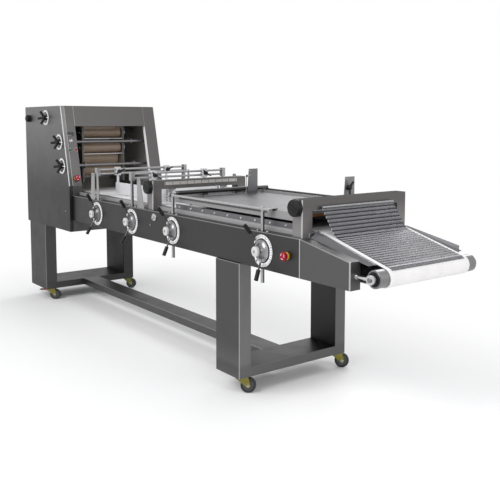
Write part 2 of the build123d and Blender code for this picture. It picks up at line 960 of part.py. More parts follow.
with BuildPart() as head_hood:
    with BuildSketch(side_plane(head_inner)):
        with BuildLine():
            Polyline(
                (head_back, head_bottom),
                (head_back, head_top),
                (hood_front, head_top),
                (hood_front, head_top - sheet),
                (head_back + sheet, head_top - sheet),
                (head_back + sheet, head_bottom),
                close=True,
            )
        make_face()
    extrude(amount=2 * head_inner)
    chute = (head_front - chute_setback, head_front - chute_setback + chute_length)
    block(
        (chute[0] - sheet, chute[1] + sheet),
        (-chute_half - sheet, chute_half + sheet),
        (chute_bottom, head_top),
    )
    block(chute, (-chute_half, chute_half), (chute_bottom, head_top), Mode.SUBTRACT)
write(head_hood, "head_hood")

# Floor of the head, with the apron under the table and the pedestals that carry the drum

with BuildPart() as head_base:
    block((head_back + sheet, head_front), (-head_inner, head_inner), (head_bottom, head_bottom + sheet))
    block((head_front - sheet, head_front), (-head_inner, head_inner), (head_bottom, cover_bottom))
    for outer in (-pedestal_across, pedestal_face):
        with BuildSketch(side_plane(outer)):
            with Locations((drum_center[0], (head_bottom + drum_center[1]) / 2)):
                Rectangle(pedestal_length, drum_center[1] - head_bottom)
            with Locations(drum_center):
                Circle(pedestal_rise)
            with Locations(drum_center):
                Circle(drum_shaft + running_fit, mode=Mode.SUBTRACT)
        extrude(amount=pedestal_sheet)
write(head_base, "head_base")

# Gear motor on the floor: ribbed motor, gear case with a foot, and its output shaft

with BuildPart() as gear_motor:
    case_start = head_back + motor_place
    floor_top = head_bottom + sheet
    case_middle = floor_top + gear_case[2] / 2
    case_across = (motor_across - gear_case[1] / 2, motor_across + gear_case[1] / 2)
    block((case_start, case_start + gear_case[0]), case_across, (floor_top, floor_top + gear_case[2]))
    fillet(gear_motor.edges().filter_by(Axis.Y), case_round)
    with BuildSketch(cross_plane(case_start)):
        with Locations((motor_across, case_middle)):
            Circle(motor_radius)
    extrude(amount=-motor_length)
    for rib in range(motor_ribs):
        with BuildSketch(cross_plane(case_start - (rib + 0.5) * motor_length / motor_ribs)):
            with Locations((motor_across, case_middle)):
                Circle(motor_radius + rib_height)
        extrude(amount=-rib_width)
    output_limits = (case_across[1], case_across[1] + output_length)
    rod_across(case_start + gear_case[0] / 2, case_middle, output_limits, output_radius)
write(gear_motor, "gear_motor")

# Sheeting rollers: three in sliding bearings, seen in the window, and two fixed ones behind them
cheek_face = cheek_across + cheek_sheet
gear_start = cheek_face + shaft_overhang
backing_height = (sheeting_heights["upper"] + sheeting_heights["lower"]) / 2
backing_rise = (sheeting_heights["upper"] - sheeting_heights["lower"]) / 2
backing_throw = math.sqrt((sheeting_radius + backing_radius + nip) ** 2 - backing_rise**2)
mate_throw = math.sqrt((2 * sheeting_radius + nip) ** 2 - infeed_mate_rise**2)
fixed_rollers = {
    "infeed_mate_roller": (
        (sheeting_along - mate_throw, sheeting_heights["infeed"] + infeed_mate_rise),
        sheeting_radius,
    ),
    "backing_roller": ((sheeting_along - backing_throw, backing_height), backing_radius),
}


def roller(center, radius):
    """Roller with a journal at each end and a drive gear beyond the far cheek."""
    with BuildPart() as piece:
        rod_across(center[0], center[1], (-sheeting_half, sheeting_half), radius)
        chamfer(piece.edges().filter_by(GeomType.CIRCLE), sheeting_chamfer)
        rod_across(center[0], center[1], (-gear_start, gear_start + gear_width), journal_radius)
        rod_across(center[0], center[1], (gear_start, gear_start + gear_width), gear_radius)
    return piece


for name, height in sheeting_heights.items():
    sheeting_roller = roller((sheeting_along, height), sheeting_radius)
    write(sheeting_roller, f"{name}_roller")
for name, (center, radius) in fixed_rollers.items():
    fixed_roller = roller(center, radius)
    write(fixed_roller, name)

# Bearing carriers: a pair of blocks that slide along the cheeks' slots
for name, height in sheeting_heights.items():
    with BuildPart() as carrier:
        for outer in (-cheek_across, cheek_face):
            with BuildSketch(side_plane(outer)):
                with Locations((sheeting_along, height)):
                    Rectangle(carrier_length, carrier_height - 2 * slide_fit)
                    Circle(journal_radius + running_fit, mode=Mode.SUBTRACT)
            extrude(amount=cheek_sheet)
    write(carrier, f"{name}_carrier")

# Roller frame: two cheeks on cross bars between the pans, with the scraper bars
cheek_back = fixed_rollers["backing_roller"][0][0] - backing_radius - cheek_margin
cheek_front = sheeting_along + carrier_length / 2 + carrier_travel + cheek_margin
scrapers = {
    "infeed": sheeting_heights["infeed"] - sheeting_radius - scraper_sheet,
    "upper": sheeting_heights["upper"] - sheeting_radius - scraper_sheet,
    "lower": sheeting_heights["lower"] + sheeting_radius + 2 * scraper_sheet,
}

with BuildPart() as roller_frame:
    for outer in (-cheek_across, cheek_face):
        with BuildSketch(side_plane(outer)):
            with BuildLine():
                Polyline(
                    (cheek_back, cheek_bottom),
                    (cheek_front, cheek_bottom),
                    (cheek_front, cheek_top),
                    (cheek_back + 2 * cheek_margin, cheek_top),
                    (cheek_back, cheek_top - 2 * cheek_margin),
                    close=True,
                )
            make_face()
            with Locations([(sheeting_along, height) for height in sheeting_heights.values()]):
                Rectangle(carrier_length + 2 * carrier_travel, carrier_height, mode=Mode.SUBTRACT)
            with Locations([center for center, radius in fixed_rollers.values()]):
                Circle(journal_radius + running_fit, mode=Mode.SUBTRACT)
        extrude(amount=cheek_sheet)
    bar_along = (cheek_back - cross_bar, cheek_back)
    for bar_top in (cheek_top - 2 * cheek_margin - cross_bar_drop, cheek_bottom + cross_bar + cross_bar_drop):
        block(bar_along, (sheet - head_half, head_half - sheet), (bar_top - cross_bar, bar_top))
    for scraper_top in scrapers.values():
        block(
            (cheek_front - scraper_depth, cheek_front),
            (-cheek_across, cheek_across),
            (scraper_top - scraper_sheet, scraper_top),
        )
write(roller_frame, "roller_frame")

# Gap handles: a cross shaft with two cams, a hub outside the near pan and four leaning arms
cam_start = gear_start + gear_width + shaft_overhang


def leaning_arm(center, turn, face, foot, tip, radius):
    """Round arm from a foot to a tip, each a distance from the axis and a distance out of a face."""
    outward = (-math.sin(turn), math.cos(turn))
    start, end = (
        Vector(center[0] + outward[0] * out, middle - face - proud, center[1] + outward[1] * out)
        for out, proud in (foot, tip)
    )
    with BuildSketch(Plane(origin=start, z_dir=end - start)) as section:
        Circle(radius)
    extrude(section.sketch, amount=(end - start).length)


for name, center in gap_shafts.items():
    with BuildPart() as handle:
        hub_face = head_half + scale_thickness + gap
        rod_across(center[0], center[1], (-hub_face, head_half), gap_shaft_radius)
        for start in (-cam_start - cam_width, cam_start):
            with BuildSketch(side_plane(start + cam_width)):
                with Locations((center[0] - cam_throw, center[1])):
                    Circle(cam_radius)
            extrude(amount=cam_width)
        rod_across(center[0], center[1], (-hub_face - gap_hub_depth, -hub_face), gap_hub_radius)
        fillet(handle.faces().sort_by(Axis.Y)[0].edges(), gap_hub_round)
        for arm in range(gap_arm_count):
            turn = math.radians(gap_arm_turn + arm * 360 / gap_arm_count)
            foot = (gap_arm_foot, scale_thickness + gap + gap_hub_depth / 2)
            leaning_arm(center, turn, head_half, foot, (gap_arm_reach, gap_arm_out), gap_arm_radius)
    write(handle, f"{name}_gap_handle")

# Head knob: a round black grip on a stem through the near pan

with BuildPart() as head_knob:
    knob_face = head_half + gap
    rod_across(
        head_knob_center[0], head_knob_center[1], (-knob_face - head_knob_depth, -knob_face), head_knob_radius
    )
    fillet(head_knob.faces().sort_by(Axis.Y)[0].edges(), head_knob_round)
    rod_across(head_knob_center[0], head_knob_center[1], (-knob_face, stem_inside - head_half), knob_stem)
write(head_knob, "head_knob")

# Push buttons and stops: a cap on a stem through its panel


def push_button(plane, radius, neck, cap, stem):
    """Cap over a neck, with a stem behind the panel, on a plane that stands at its seat."""
    with BuildPart() as button:
        with BuildSketch(plane):
            Circle(stem)
        extrude(amount=-stem_depth)
        with BuildSketch(plane):
            Circle(stem)
        extrude(amount=neck)
        with BuildSketch(plane.offset(neck)):
            Circle(radius)
        extrude(amount=cap)
        fillet(button.faces().sort_by(Axis(plane.origin, plane.z_dir))[-1].edges(), cap / 3)
    return button


for name, (across, height) in button_places.items():
    if name == "head_stop_button":
        button = push_button(front_plane(across, height, gap), stop_radius, stop_neck, stop_cap, stop_stem)
    else:
        plane = front_plane(across, height, button_proud / 2)
        button = push_button(plane, button_radius, gap, button_proud, button_stem)
    write(button, name)

table_stop_plane = Plane(
    origin=(stop_along, middle - table_half - gap, stop_height), x_dir=(1, 0, 0), z_dir=(0, -1, 0)
)
table_stop_button = push_button(table_stop_plane, stop_radius, stop_neck, stop_cap, stop_stem)
write(table_stop_button, "table_stop_button")

# Scales: white C-shaped rings on the near cover and on the near pan, open towards the head
def scale_ring(center, radius, band, face):
    """One ring, standing out of a face."""
    turn = math.radians(scale_half_angle)
    reach = 3 * radius
    with BuildSketch(side_plane(-face)) as ring:
        with Locations(center):
            Circle(radius)
            Circle(radius - band, mode=Mode.SUBTRACT)
            Polygon(
                (0, 0),
                (reach * math.cos(turn), reach * math.sin(turn)),
                (reach * math.cos(turn), -reach * math.sin(turn)),
                align=None,
                mode=Mode.SUBTRACT,
            )
    extrude(ring.sketch, amount=scale_thickness)


with BuildPart() as scale_rings:
    for along in dials:
        scale_ring((along, dial_height), scale_radius, scale_band, table_half)
    for center in gap_shafts.values():
        scale_ring(center, gap_scale_radius, gap_scale_band, head_half)
write(scale_rings, "scale_rings")

# Height dials: dished hub and knob, a lever with two grips, and a cross shaft with two pinions
tooth_pitch = math.pi * tooth_module
base_radius = pitch_radius * math.cos(math.radians(pressure_angle))


def involute(radius):
    """Turn of an involute flank from its base circle out to a radius."""
    ratio = min(1, base_radius / radius)
    lean = math.acos(ratio)
    return math.tan(lean) - lean


def tooth_half_angle(radius):
    """Half of a tooth's width at a radius, as an angle."""
    half_pitch = (tooth_pitch / 2 - tooth_backlash) / (2 * pitch_radius)
    return half_pitch + involute(pitch_radius) - involute(radius)


def pinion(center, limits):
    """Toothed wheel between two limits across, with one tooth pointing at the rack."""
    radii = (pitch_radius - tooth_dedendum, pitch_radius, pitch_radius + tooth_addendum)
    flank = [(radius, tooth_half_angle(radius)) for radius in radii]
    points = []
    for tooth in range(pinion_teeth):
        turn = math.pi + tooth * 2 * math.pi / pinion_teeth
        corners = [(radius, turn - half) for radius, half in flank]
        corners += [(radius, turn + half) for radius, half in reversed(flank)]
        for radius, angle in corners:
            points.append((center[0] + radius * math.cos(angle), center[1] + radius * math.sin(angle)))
    with BuildSketch(side_plane(limits[1])) as wheel:
        Polygon(*points, align=None)
    extrude(wheel.sketch, amount=limits[1] - limits[0])


for number, (along, dial_turn) in enumerate(zip(dials, dial_turns), start=1):
    center = (along, dial_height)
    with BuildPart() as dial:
        hub_origin = (along, middle - table_half - gap, dial_height)
        with BuildSketch(Plane(origin=hub_origin, x_dir=(1, 0, 0), z_dir=(0, 0, -1))):
            with BuildLine():
                knob_front = hub_depth + dial_knob_depth
                Line((0, 0), (hub_radius, 0))
                Line((hub_radius, 0), (hub_radius, hub_rim))
                dish_middle = ((hub_radius + hub_neck) / 2 - hub_sag, (hub_rim + hub_depth) / 2 - hub_sag)
                ThreePointArc((hub_radius, hub_rim), dish_middle, (hub_neck, hub_depth))
                Line((hub_neck, hub_depth), (dial_knob_radius, hub_depth))
                Line((dial_knob_radius, hub_depth), (dial_knob_radius, knob_front - knob_dome))
                RadiusArc(
                    (dial_knob_radius, knob_front - knob_dome),
                    (0, knob_front),
                    -(dial_knob_radius**2 + knob_dome**2) / (2 * knob_dome),
                )
                Line((0, knob_front), (0, 0))
            make_face()
        revolve(axis=Axis(hub_origin, (0, -1, 0)))
        rod_across(along, dial_height, (-table_half - gap, table_half), shaft_radius)
        for side in (-1, 1):
            across = side * post_across
            pinion(center, (across - pinion_width / 2, across + pinion_width / 2))
        arm_length = math.hypot(lever_run, lever_out - lever_tilt_foot)
        share = 1 - grip_length / arm_length
        foot = (lever_foot, lever_tilt_foot)
        tip = (lever_reach, lever_out)
        grip_start = (foot[0] + share * (tip[0] - foot[0]), foot[1] + share * (tip[1] - foot[1]))
        for half_turn in (0, math.pi):
            turn = math.radians(dial_turn) + half_turn
            leaning_arm(center, turn, table_half, foot, tip, lever_radius)
            leaning_arm(center, turn, table_half, grip_start, tip, grip_radius)
    write(dial, f"height_dial_{number}")


def rack_post(along, across, limits):
    """Upright post whose flat side carries the rack beside its pinion."""
    rod_up(along, across, limits, post_radius)
    tip_line = along + rack_line + tooth_addendum
    root_line = along + rack_line - tooth_dedendum
    lean = math.tan(math.radians(pressure_angle))
    half_tip = tooth_pitch / 4 + tooth_addendum * lean
    half_root = tooth_pitch / 4 - tooth_dedendum * lean
    rack_length = rack_teeth * tooth_pitch
    with BuildSketch(side_plane(across + post_radius)) as comb:
        with Locations((tip_line + post_radius / 2, dial_height)):
            Rectangle(post_radius, rack_length)
        for tooth in range(rack_teeth):
            height = dial_height + (tooth - (rack_teeth - 1) / 2) * tooth_pitch
            Polygon(
                (tip_line, height - half_tip),
                (tip_line, height + half_tip),
                (root_line, height + half_root),
                (root_line, height - half_root),
                align=None,
            )
    extrude(comb.sketch, amount=2 * post_radius, mode=Mode.SUBTRACT)


# Lift frame over the first part of the belt: two gates of posts and twin rods

with BuildPart() as lift_frame:
    head_limits = (gate_rod_heights[0] - gate_head_margin, gate_rod_heights[1] + gate_head_margin)
    for along in posts[:2]:
        for side in (-1, 1):
            rack_post(along, side * post_across, (gate_post_foot, head_limits[0]))
            block(
                (along - gate_head[0] / 2, along + gate_head[0] / 2),
                (side * post_across - gate_head[1] / 2, side * post_across + gate_head[1] / 2),
                head_limits,
            )
        for height in gate_rod_heights:
            rod_across(along, height, (-post_across, post_across), gate_rod_radius)
write(lift_frame, "lift_frame")

# Side guides: white boards that hang from blocks on the rods

for side, name in ((-1, "near_side_guide"), (1, "far_side_guide")):
    with BuildPart() as guide:
        across = side * guide_across
        guide_start = head_front + guide_lead
        guide_top = guide_bottom + guide_height
        board = (across - guide_sheet / 2, across + guide_sheet / 2)
        block((guide_start, guide_start + guide_length), board, (guide_bottom, guide_top))
        for along in posts[:2]:
            block(
                (along - guide_block[0] / 2, along + guide_block[0] / 2),
                (across - guide_block[1] / 2, across + guide_block[1] / 2),
                head_limits,
            )
            rod_up(along, across, (guide_top, head_limits[0]), hanger_radius)
            for height in gate_rod_heights:
                limits = (across - guide_block[1], across + guide_block[1])
                rod_across(along, height, limits, gate_rod_radius + slide_fit, Mode.SUBTRACT)
    write(guide, name)

# Pressure board: a thick sole, the steel tray over it, and the posts, rails and tube that carry both
tray_top = board_top + sheet + tray_lip

with BuildPart() as pressure_board:
    block(
        (board_start + sheet + tray_gap, board_end - sheet - tray_gap),
        (-board_half, board_half),
        (board_bottom, board_top),
    )
    bottom_ends = pressure_board.faces().sort_by(Axis.Z)[0].edges().filter_by(Axis.Y)
    chamfer(bottom_ends, board_sheet / 3)
write(pressure_board, "pressure_board")

with BuildPart() as board_tray:
    wall_outer = board_half + tray_gap + sheet
    block((board_start, board_end), (-wall_outer, wall_outer), (board_top, board_top + sheet))
    for side in (-1, 1):
        wall = sorted((side * (wall_outer - sheet), side * wall_outer))
        block((board_start, board_end), wall, (board_top - tray_skirt, tray_top))
    for along in (board_start, board_end - sheet):
        block((along, along + sheet), (-wall_outer, wall_outer), (board_top, tray_top))
    for upright in uprights:
        with BuildSketch(cross_plane(upright)):
            with BuildLine():
                Polyline(
                    (upright_across[0], board_top + sheet),
                    (upright_across[1], board_top + sheet),
                    (upright_across[1], board_top + upright_height),
                    (upright_across[0] + upright_lean, board_top + upright_height),
                    close=True,
                )
            make_face()
        extrude(amount=sheet)
write(board_tray, "board_tray")

with BuildPart() as board_posts:
    rail_end = posts[3] + rail_tail
    for side in (-1, 1):
        across = side * post_across
        for along in posts[2:]:
            rack_post(along, across, (board_post_foot, board_post_top))
        with BuildSketch(cross_plane(posts[2])):
            with Locations((across, rail_height)):
                Circle(rail_radius)
        extrude(amount=rail_end - posts[2])
        lug = sorted((side * (board_half - lug_inset), across))
        block((rail_end - lug_length, rail_end), lug, (tray_top, tray_top + 2 * sheet))
        lug_side = sorted((side * (wall_outer + tray_gap), across))
        block((rail_end - lug_length, rail_end), lug_side, (rail_height - rail_radius, tray_top + 2 * sheet))
    rod_across(posts[2], tube_height, (-post_across, post_across), tube_radius)
    for side in (-1, 1):
        foot = sorted((side * board_half / 3, side * (board_half / 3 + lug_length)))
        foot_along = (posts[2] - tube_radius / 2, posts[2] + tube_radius / 2)
        block(foot_along, foot, (board_top + sheet, tube_height))
write(board_posts, "board_posts")

# Portals: boxes over the belt, open under the beam, bored for the knob's screw
beam_bottom = portal_top - portal_beam

with BuildPart() as portal_frames:
    for along in portals:
        with BuildSketch(cross_plane(along)):
            with Locations((0, (table_top + portal_top) / 2)):
                Rectangle(2 * portal_across, portal_height)
            with Locations((0, (table_top + beam_bottom) / 2)):
                Rectangle(2 * (portal_across - portal_leg), beam_bottom - table_top, mode=Mode.SUBTRACT)
        extrude(amount=portal_length)
        box_corners = portal_frames.edges(Select.LAST).filter_by(Axis.Z).sort_by(Axis.Y)
        fillet(box_corners[:2] + box_corners[-2:], fold)
        with BuildSketch(cross_plane(along + sheet)):
            with Locations((0, (beam_bottom + portal_top - sheet) / 2)):
                Rectangle(2 * (portal_across - sheet), portal_beam - sheet)
            for side in (-1, 1):
                leg_across = side * (portal_across - portal_leg / 2)
                with Locations((leg_across, (table_top + portal_top - sheet) / 2)):
                    Rectangle(portal_leg - 2 * sheet, portal_height - sheet)
        extrude(amount=portal_length - 2 * sheet, mode=Mode.SUBTRACT)
        limits = (-portal_across - sheet, portal_across + sheet)
        rod_across(along + portal_length / 2, knob_height, limits, screw_radius + running_fit, Mode.SUBTRACT)
write(portal_frames, "portal_frames")

for along, name in zip(portals, ("guide_knob", "end_knob")):
    with BuildPart() as portal_knob:
        knob_face = portal_across + gap
        axis_along = along + portal_length / 2
        rod_across(axis_along, knob_height, (-knob_face - portal_knob_depth, -knob_face), portal_knob_radius)
        fillet(portal_knob.faces().sort_by(Axis.Y)[0].edges(), portal_knob_round)
        rod_across(axis_along, knob_height, (-knob_face, portal_across), screw_radius)
    write(portal_knob, name)

# Portal guides: white boards under nuts on the first portal's screw

for side, name in ((-1, "near_portal_guide"), (1, "far_portal_guide")):
    with BuildPart() as guide:
        across = side * guide_across
        axis_along = portals[0] + portal_length / 2
        guide_top = beam_bottom - nut_drop / 2
        block(
            (axis_along - nut_size[0] / 2, axis_along + nut_size[0] / 2),
            (across - nut_size[1] / 2, across + nut_size[1] / 2),
            (guide_top, knob_height + nut_drop),
        )
        block(
            (portals[0], portals[0] + portal_guide_length),
            (across - guide_sheet / 2, across + guide_sheet / 2),
            (guide_bottom, guide_top),
        )
        limits = (across - nut_size[1], across + nut_size[1])
        rod_across(axis_along, knob_height, limits, screw_radius + slide_fit, Mode.SUBTRACT)
    write(guide, name)

# Wire mat: cross wires on five lengthwise ribbons, hung from a rod on the end portal, lying on the belt
portal_face = portals[1] + portal_length
mat_rod_along = portal_face + mat_hook
mat_offset = knee_radius + belt_seat + belt_thickness + gap + mat_wire / 2
mat_slope_start = knee_point(mat_offset, slope)


def on_slope(distance):
    """Point of the mat's middle layer, a distance down the slope of the belt."""
    return (
        mat_slope_start[0] + distance * math.cos(slope),
        mat_slope_start[1] - distance * math.sin(slope),
    )


with BuildLine() as mat_path:
    FilletPolyline(
        (mat_rod_along, mat_rod_height),
        on_slope(mat_landing),
        on_slope(slope_length + bed_end_gap - mat_end_gap),
        radius=mat_bend,
    )
mat_wire_path = mat_path.wires()[0]
mat_count = int(mat_wire_path.length / mat_pitch)

with BuildPart() as wire_mat:
    rod_across(mat_rod_along, mat_rod_height, (-mat_half, mat_half), mat_rod_radius)
    for side in (-1, 1):
        hook = sorted((side * mat_half, side * (mat_half - mat_hook)))
        hook_height = (mat_rod_height - mat_hook / 2, mat_rod_height + mat_hook / 2)
        block((portal_face, mat_rod_along), hook, hook_height)
    for ribbon in range(mat_ribbons):
        across = (ribbon / (mat_ribbons - 1) - 0.5) * 2 * (mat_half - mat_hook) + mat_ribbon / 2
        with BuildSketch(side_plane(across)) as strip:
            with BuildLine():
                add(mat_path.line)
            trace(line_width=mat_ribbon)
        extrude(strip.sketch, amount=mat_ribbon)
    with BuildSketch(side_plane(mat_half)) as wires:
        for wire in range(1, mat_count + 1):
            share = wire / mat_count
            point = mat_wire_path.position_at(share)
            heading = mat_wire_path.tangent_at(share)
            with Locations((point.X, point.Y)):
                Rectangle(mat_wire, mat_wire, rotation=math.degrees(math.atan2(heading.Y, heading.X)))
    extrude(wires.sketch, amount=2 * mat_half)
write(wire_mat, "wire_mat")
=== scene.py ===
import bpy
import bmesh
import json
import math
from mathutils import Matrix, Vector


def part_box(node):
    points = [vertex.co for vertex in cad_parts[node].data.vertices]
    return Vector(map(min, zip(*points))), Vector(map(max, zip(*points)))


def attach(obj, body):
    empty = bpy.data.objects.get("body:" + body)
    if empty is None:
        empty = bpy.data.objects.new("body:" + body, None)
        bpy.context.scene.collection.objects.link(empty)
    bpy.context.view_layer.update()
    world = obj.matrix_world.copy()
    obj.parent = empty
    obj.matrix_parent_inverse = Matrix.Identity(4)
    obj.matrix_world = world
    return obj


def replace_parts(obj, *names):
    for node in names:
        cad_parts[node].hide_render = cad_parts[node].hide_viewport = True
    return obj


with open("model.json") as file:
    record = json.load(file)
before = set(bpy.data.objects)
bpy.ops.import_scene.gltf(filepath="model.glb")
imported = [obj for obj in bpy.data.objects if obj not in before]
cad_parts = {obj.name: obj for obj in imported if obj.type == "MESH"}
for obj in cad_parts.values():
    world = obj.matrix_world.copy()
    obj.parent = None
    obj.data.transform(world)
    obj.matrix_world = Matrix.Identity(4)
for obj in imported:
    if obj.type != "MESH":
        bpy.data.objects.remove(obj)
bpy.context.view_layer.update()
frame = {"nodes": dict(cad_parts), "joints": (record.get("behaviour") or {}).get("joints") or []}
nodes = frame["nodes"]
print("stage: frame loaded,", len(nodes), "nodes")


def middleOf(node):
    low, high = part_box(node)
    return (low + high) / 2


def jointPlace(name):
    return Vector(next(joint["pos_m"] for joint in frame["joints"] if joint["name"] == name))


tableY = middleOf("belt").y  # middle plane of the table and the head
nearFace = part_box("near_side_cover")[0].y
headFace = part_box("head_near_side")[0].y
postX = [-647.5, -173.5, 299.5, 1105.5]  # posts of both lift frames, in millimetres
postOut = 331  # how far they stand from the middle plane
gapHandles = ("infeed", "upper", "lower")
castorNames = ("belt_near", "belt_far", "head_near", "head_far")


class Wire:  # a node's socket, so that shader sums read as plain sums
    def __init__(self, look, socket):
        self.look = look
        self.socket = socket


def sumOf(kind, swapped):
    def work(wire, other):
        return wire.look.maths(kind, *((other, wire) if swapped else (wire, other)))
    return work


signs = {"add": "ADD", "radd": "ADD", "sub": "SUBTRACT", "rsub": "SUBTRACT", "mul": "MULTIPLY",
         "rmul": "MULTIPLY", "truediv": "DIVIDE", "pow": "POWER", "lt": "LESS_THAN", "gt": "GREATER_THAN"}
for sign, kind in signs.items():
    setattr(Wire, "__%s__" % sign, sumOf(kind, sign.startswith("r")))


class Look:  # one procedural material
    def __init__(self, name, metallic=0, coat=0, shine=0.5):
        self.material = bpy.data.materials.new(name)
        self.material.use_nodes = True
        self.tree = self.material.node_tree
        self.tree.nodes.clear()
        self.output = self.tree.nodes.new("ShaderNodeOutputMaterial")
        self.shader = self.tree.nodes.new("ShaderNodeBsdfPrincipled")
        self.tree.links.new(self.shader.outputs[0], self.output.inputs["Surface"])
        self.set({"Metallic": metallic, "Coat Weight": coat, "Specular IOR Level": shine})
        self.point = self.node("TexCoord", {}, "Object")  # where the surface lies, in metres

    def node(self, kind, values, out=0, **settings):
        made = self.tree.nodes.new("ShaderNode" + kind)
        for key, value in settings.items():
            setattr(made, key, value)
        self.feed(made, values)
        return Wire(self, made.outputs[out])

    def feed(self, node, values):  # wires, or plain values
        for key, value in values.items():
            if isinstance(value, Wire):
                self.tree.links.new(value.socket, node.inputs[key])
            else:
                node.inputs[key].default_value = value

    def set(self, values):
        self.feed(self.shader, values)

    def maths(self, kind, *values):
        return self.node("Math", dict(enumerate(values)), operation=kind)

    def axes(self):
        split = self.tree.nodes.new("ShaderNodeSeparateXYZ")
        self.feed(split, {0: self.point})
        return [Wire(self, socket) for socket in split.outputs]

    def noise(self, scale, detail=2, roughness=0.5, stretch=(1, 1, 1)):
        mapped = self.node("Mapping", {"Vector": self.point, "Scale": stretch})
        values = {"Vector": mapped, "Scale": scale, "Detail": detail, "Roughness": roughness}
        return self.node("TexNoise", values, "Fac")

    def span(self, value, low, high, start=0, end=1):  # from one range to another, clamped
        values = {"Value": value, "From Min": low, "From Max": high, "To Min": start, "To Max": end}
        return self.node("MapRange", values)

    def tint(self, share, first, second):
        ends = [tone if isinstance(tone, Wire) else (*tone, 1) for tone in (first, second)]
        return self.node("Mix", {"Factor": share, 6: ends[0], 7: ends[1]}, 2, data_type="RGBA")

    def scaled(self, colour, share):
        return self.node("VectorMath", {0: colour, "Scale": share}, operation="SCALE")

    def away(self, centre):  # distance from a point
        return self.node("VectorMath", {0: self.point, 1: centre}, "Value", operation="DISTANCE")

    def done(self, colour, roughness, height, strength, distance):  # with a bump as high as height says
        bump = {"Strength": strength, "Distance": distance, "Height": height}
        self.set({"Base Color": colour, "Roughness": roughness, "Normal": self.node("Bump", bump)})
        return self.material


# sheet steel of the body, with the grain as each sheet was cut
grains = {"along": (1.5, 90, 260), "across": (260, 1.5, 260), "up": (90, 260, 1.5), "even": (60, 60, 60)}
# head to portal are one steel: their different tones are painted light and shade for where each sheet stands;
# inner is painted light inside the head
steelTone = {"head": (0.16, 0.158, 0.157), "front": (0.11, 0.107, 0.106), "cover": (0.067, 0.066, 0.066),
             "nose": (0.112, 0.111, 0.113), "leg": (0.085, 0.084, 0.084), "headLeg": (0.056, 0.055, 0.055),
             "stretcher": (0.085, 0.083, 0.082), "portal": (0.124, 0.12, 0.118),
             "tray": (0.128, 0.126, 0.134), "bed": (0.25, 0.247, 0.262), "rod": (0.34, 0.34, 0.35),
             "inner": (0.5, 0.48, 0.45), "screw": (0.58, 0.58, 0.59), "polished": (0.5, 0.5, 0.51),
             "roller": (0.22, 0.22, 0.225)}
# painted shade and light: sheets that darken or lighten along one direction: axis, from, to, and the share at
# each end
paintedFades = {"headNearSteel": [(2, 0.85, 1.34, 0.26, 1.1)], "headFrontSteel": [(2, 0.8, 0.95, 0.75, 1)],
          "coverSteel": [(0, -1, 1.3, 0.75, 0.92)],
          "beltLegSteel": [(1, -0.3, 0.34, 1, 0.6), (2, 0.134, 0.16, 0.5, 1)],
          "headLegSteel": [(1, -0.28, 0.26, 1, 0.12), (2, 0.134, 0.16, 0.8, 1)],
          "portalSteel": [(2, 0.86, 0.97, 1.8, 1)], "railSteel": [(2, 0.925, 0.93, 1.25, 0.3)]}
highlightTone, glintTone, shadeTone = (0.46,) * 3, (0.93, 0.93, 0.94), (0.025,) * 3


def shaded(tone, share):
    return tuple(min(1, part * share) for part in tone)


def brushedSteel(name, tone, grain, roughness, highlights=None, shades=None, glints=None, flatShade=None,
                 spread=0.09):
    look = Look(name)
    spot = look.axes()
    fine = look.noise(3, 3, 0.6, grains[grain])
    broad = look.noise(2.2, 3, 0.55)
    smudge = look.span(look.noise(9, 4, 0.6), 0.45, 0.75)
    dark, light = (shaded(steelTone[tone], 1 + step) for step in (-spread, spread))
    colour = look.tint(0.6 * fine + 0.4 * broad, dark, light)
    metal = 1
    for axis, *ends in paintedFades.get(name, ()):
        colour = look.scaled(colour, look.span(spot[axis], *ends))
    if highlights:  # painted highlights on edges, and painted light on faces that catch more light
        highlighted = look.span(highlights(*spot), 0, 1)
        colour = look.tint(highlighted, colour, highlightTone)
        metal = 1 - 0.6 * highlighted
    if glints:  # narrow edges that stand in full light
        lit = glints(*spot)
        colour = look.tint(lit, colour, glintTone)
        metal = metal * (1 - lit)
    if shades:  # faces that mirror something darker than the white room
        colour = look.tint(look.span(shades(*spot), 0, 1), colour, shadeTone)
    if flatShade:  # painted shade: faces seen so flat that they would only mirror the white room get a flat, darker tone and no mirror
        test, flatTone = flatShade
        flatShare = look.span(test(*spot), 0, 1)
        colour = look.tint(flatShare, colour, flatTone)
        metal = metal * (1 - flatShare)
        look.set({"Specular IOR Level": 0.5 * (1 - flatShare)})
    look.set({"Metallic": metal})
    return look.done(colour, roughness + 0.14 * (fine - 0.5) + 0.07 * smudge, fine, 0.1, 0.0004)


def plainPlastic(name, tone, roughness, grain, strength, spread=0.06, coat=0, shine=0.5):
    look = Look(name, 0, coat, shine)
    fine = look.noise(grain, 3)
    broad = look.noise(5, 4, 0.6)
    dark, light = (shaded(tone, 1 + step) for step in (-2 * spread, spread))
    colour = look.tint(look.span(broad, 0.3, 0.7), dark, light)
    return look.done(colour, roughness + 0.12 * (broad - 0.5), fine, strength, 0.0003)


def clad(material, *names):
    for name in names:
        slots = nodes[name].data.materials
        slots.clear()
        slots.append(material)


def band(value, low, high):
    return (value > low) * (value < high)


highlightWidth, skin = 0.0045, 0.0006  # width of a painted edge highlight, and what still counts as the face itself
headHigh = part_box("head_near_side")[1]
frontRun, frontRise = 131, 556  # the head's front leans back above its kink
frontSlope = frontRun / frontRise
kinkHeight = 0.9
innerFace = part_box("head_front_frame")[0].y
legLow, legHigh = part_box("belt_leg_frame")
postLow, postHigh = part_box("head_leg_frame")
stretcherLow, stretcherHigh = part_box("stretcher")
coverEnd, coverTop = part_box("near_side_cover")[1].x, 0.835
noseEnd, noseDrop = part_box("nose_covers")[1].x, 0.778
noseFall = (coverTop - noseDrop) / (noseEnd - coverEnd)
trayLow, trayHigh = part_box("board_tray")
frontLook = {"nearSeam": (tableY - 0.2778, tableY - 0.2748), "farSeam": (tableY + 0.2758, tableY + 0.2788),
             "seamFoot": 1.3135, "jamb": (tableY + 0.272, tableY + 0.2775), "window": (0.86, 1.312)}
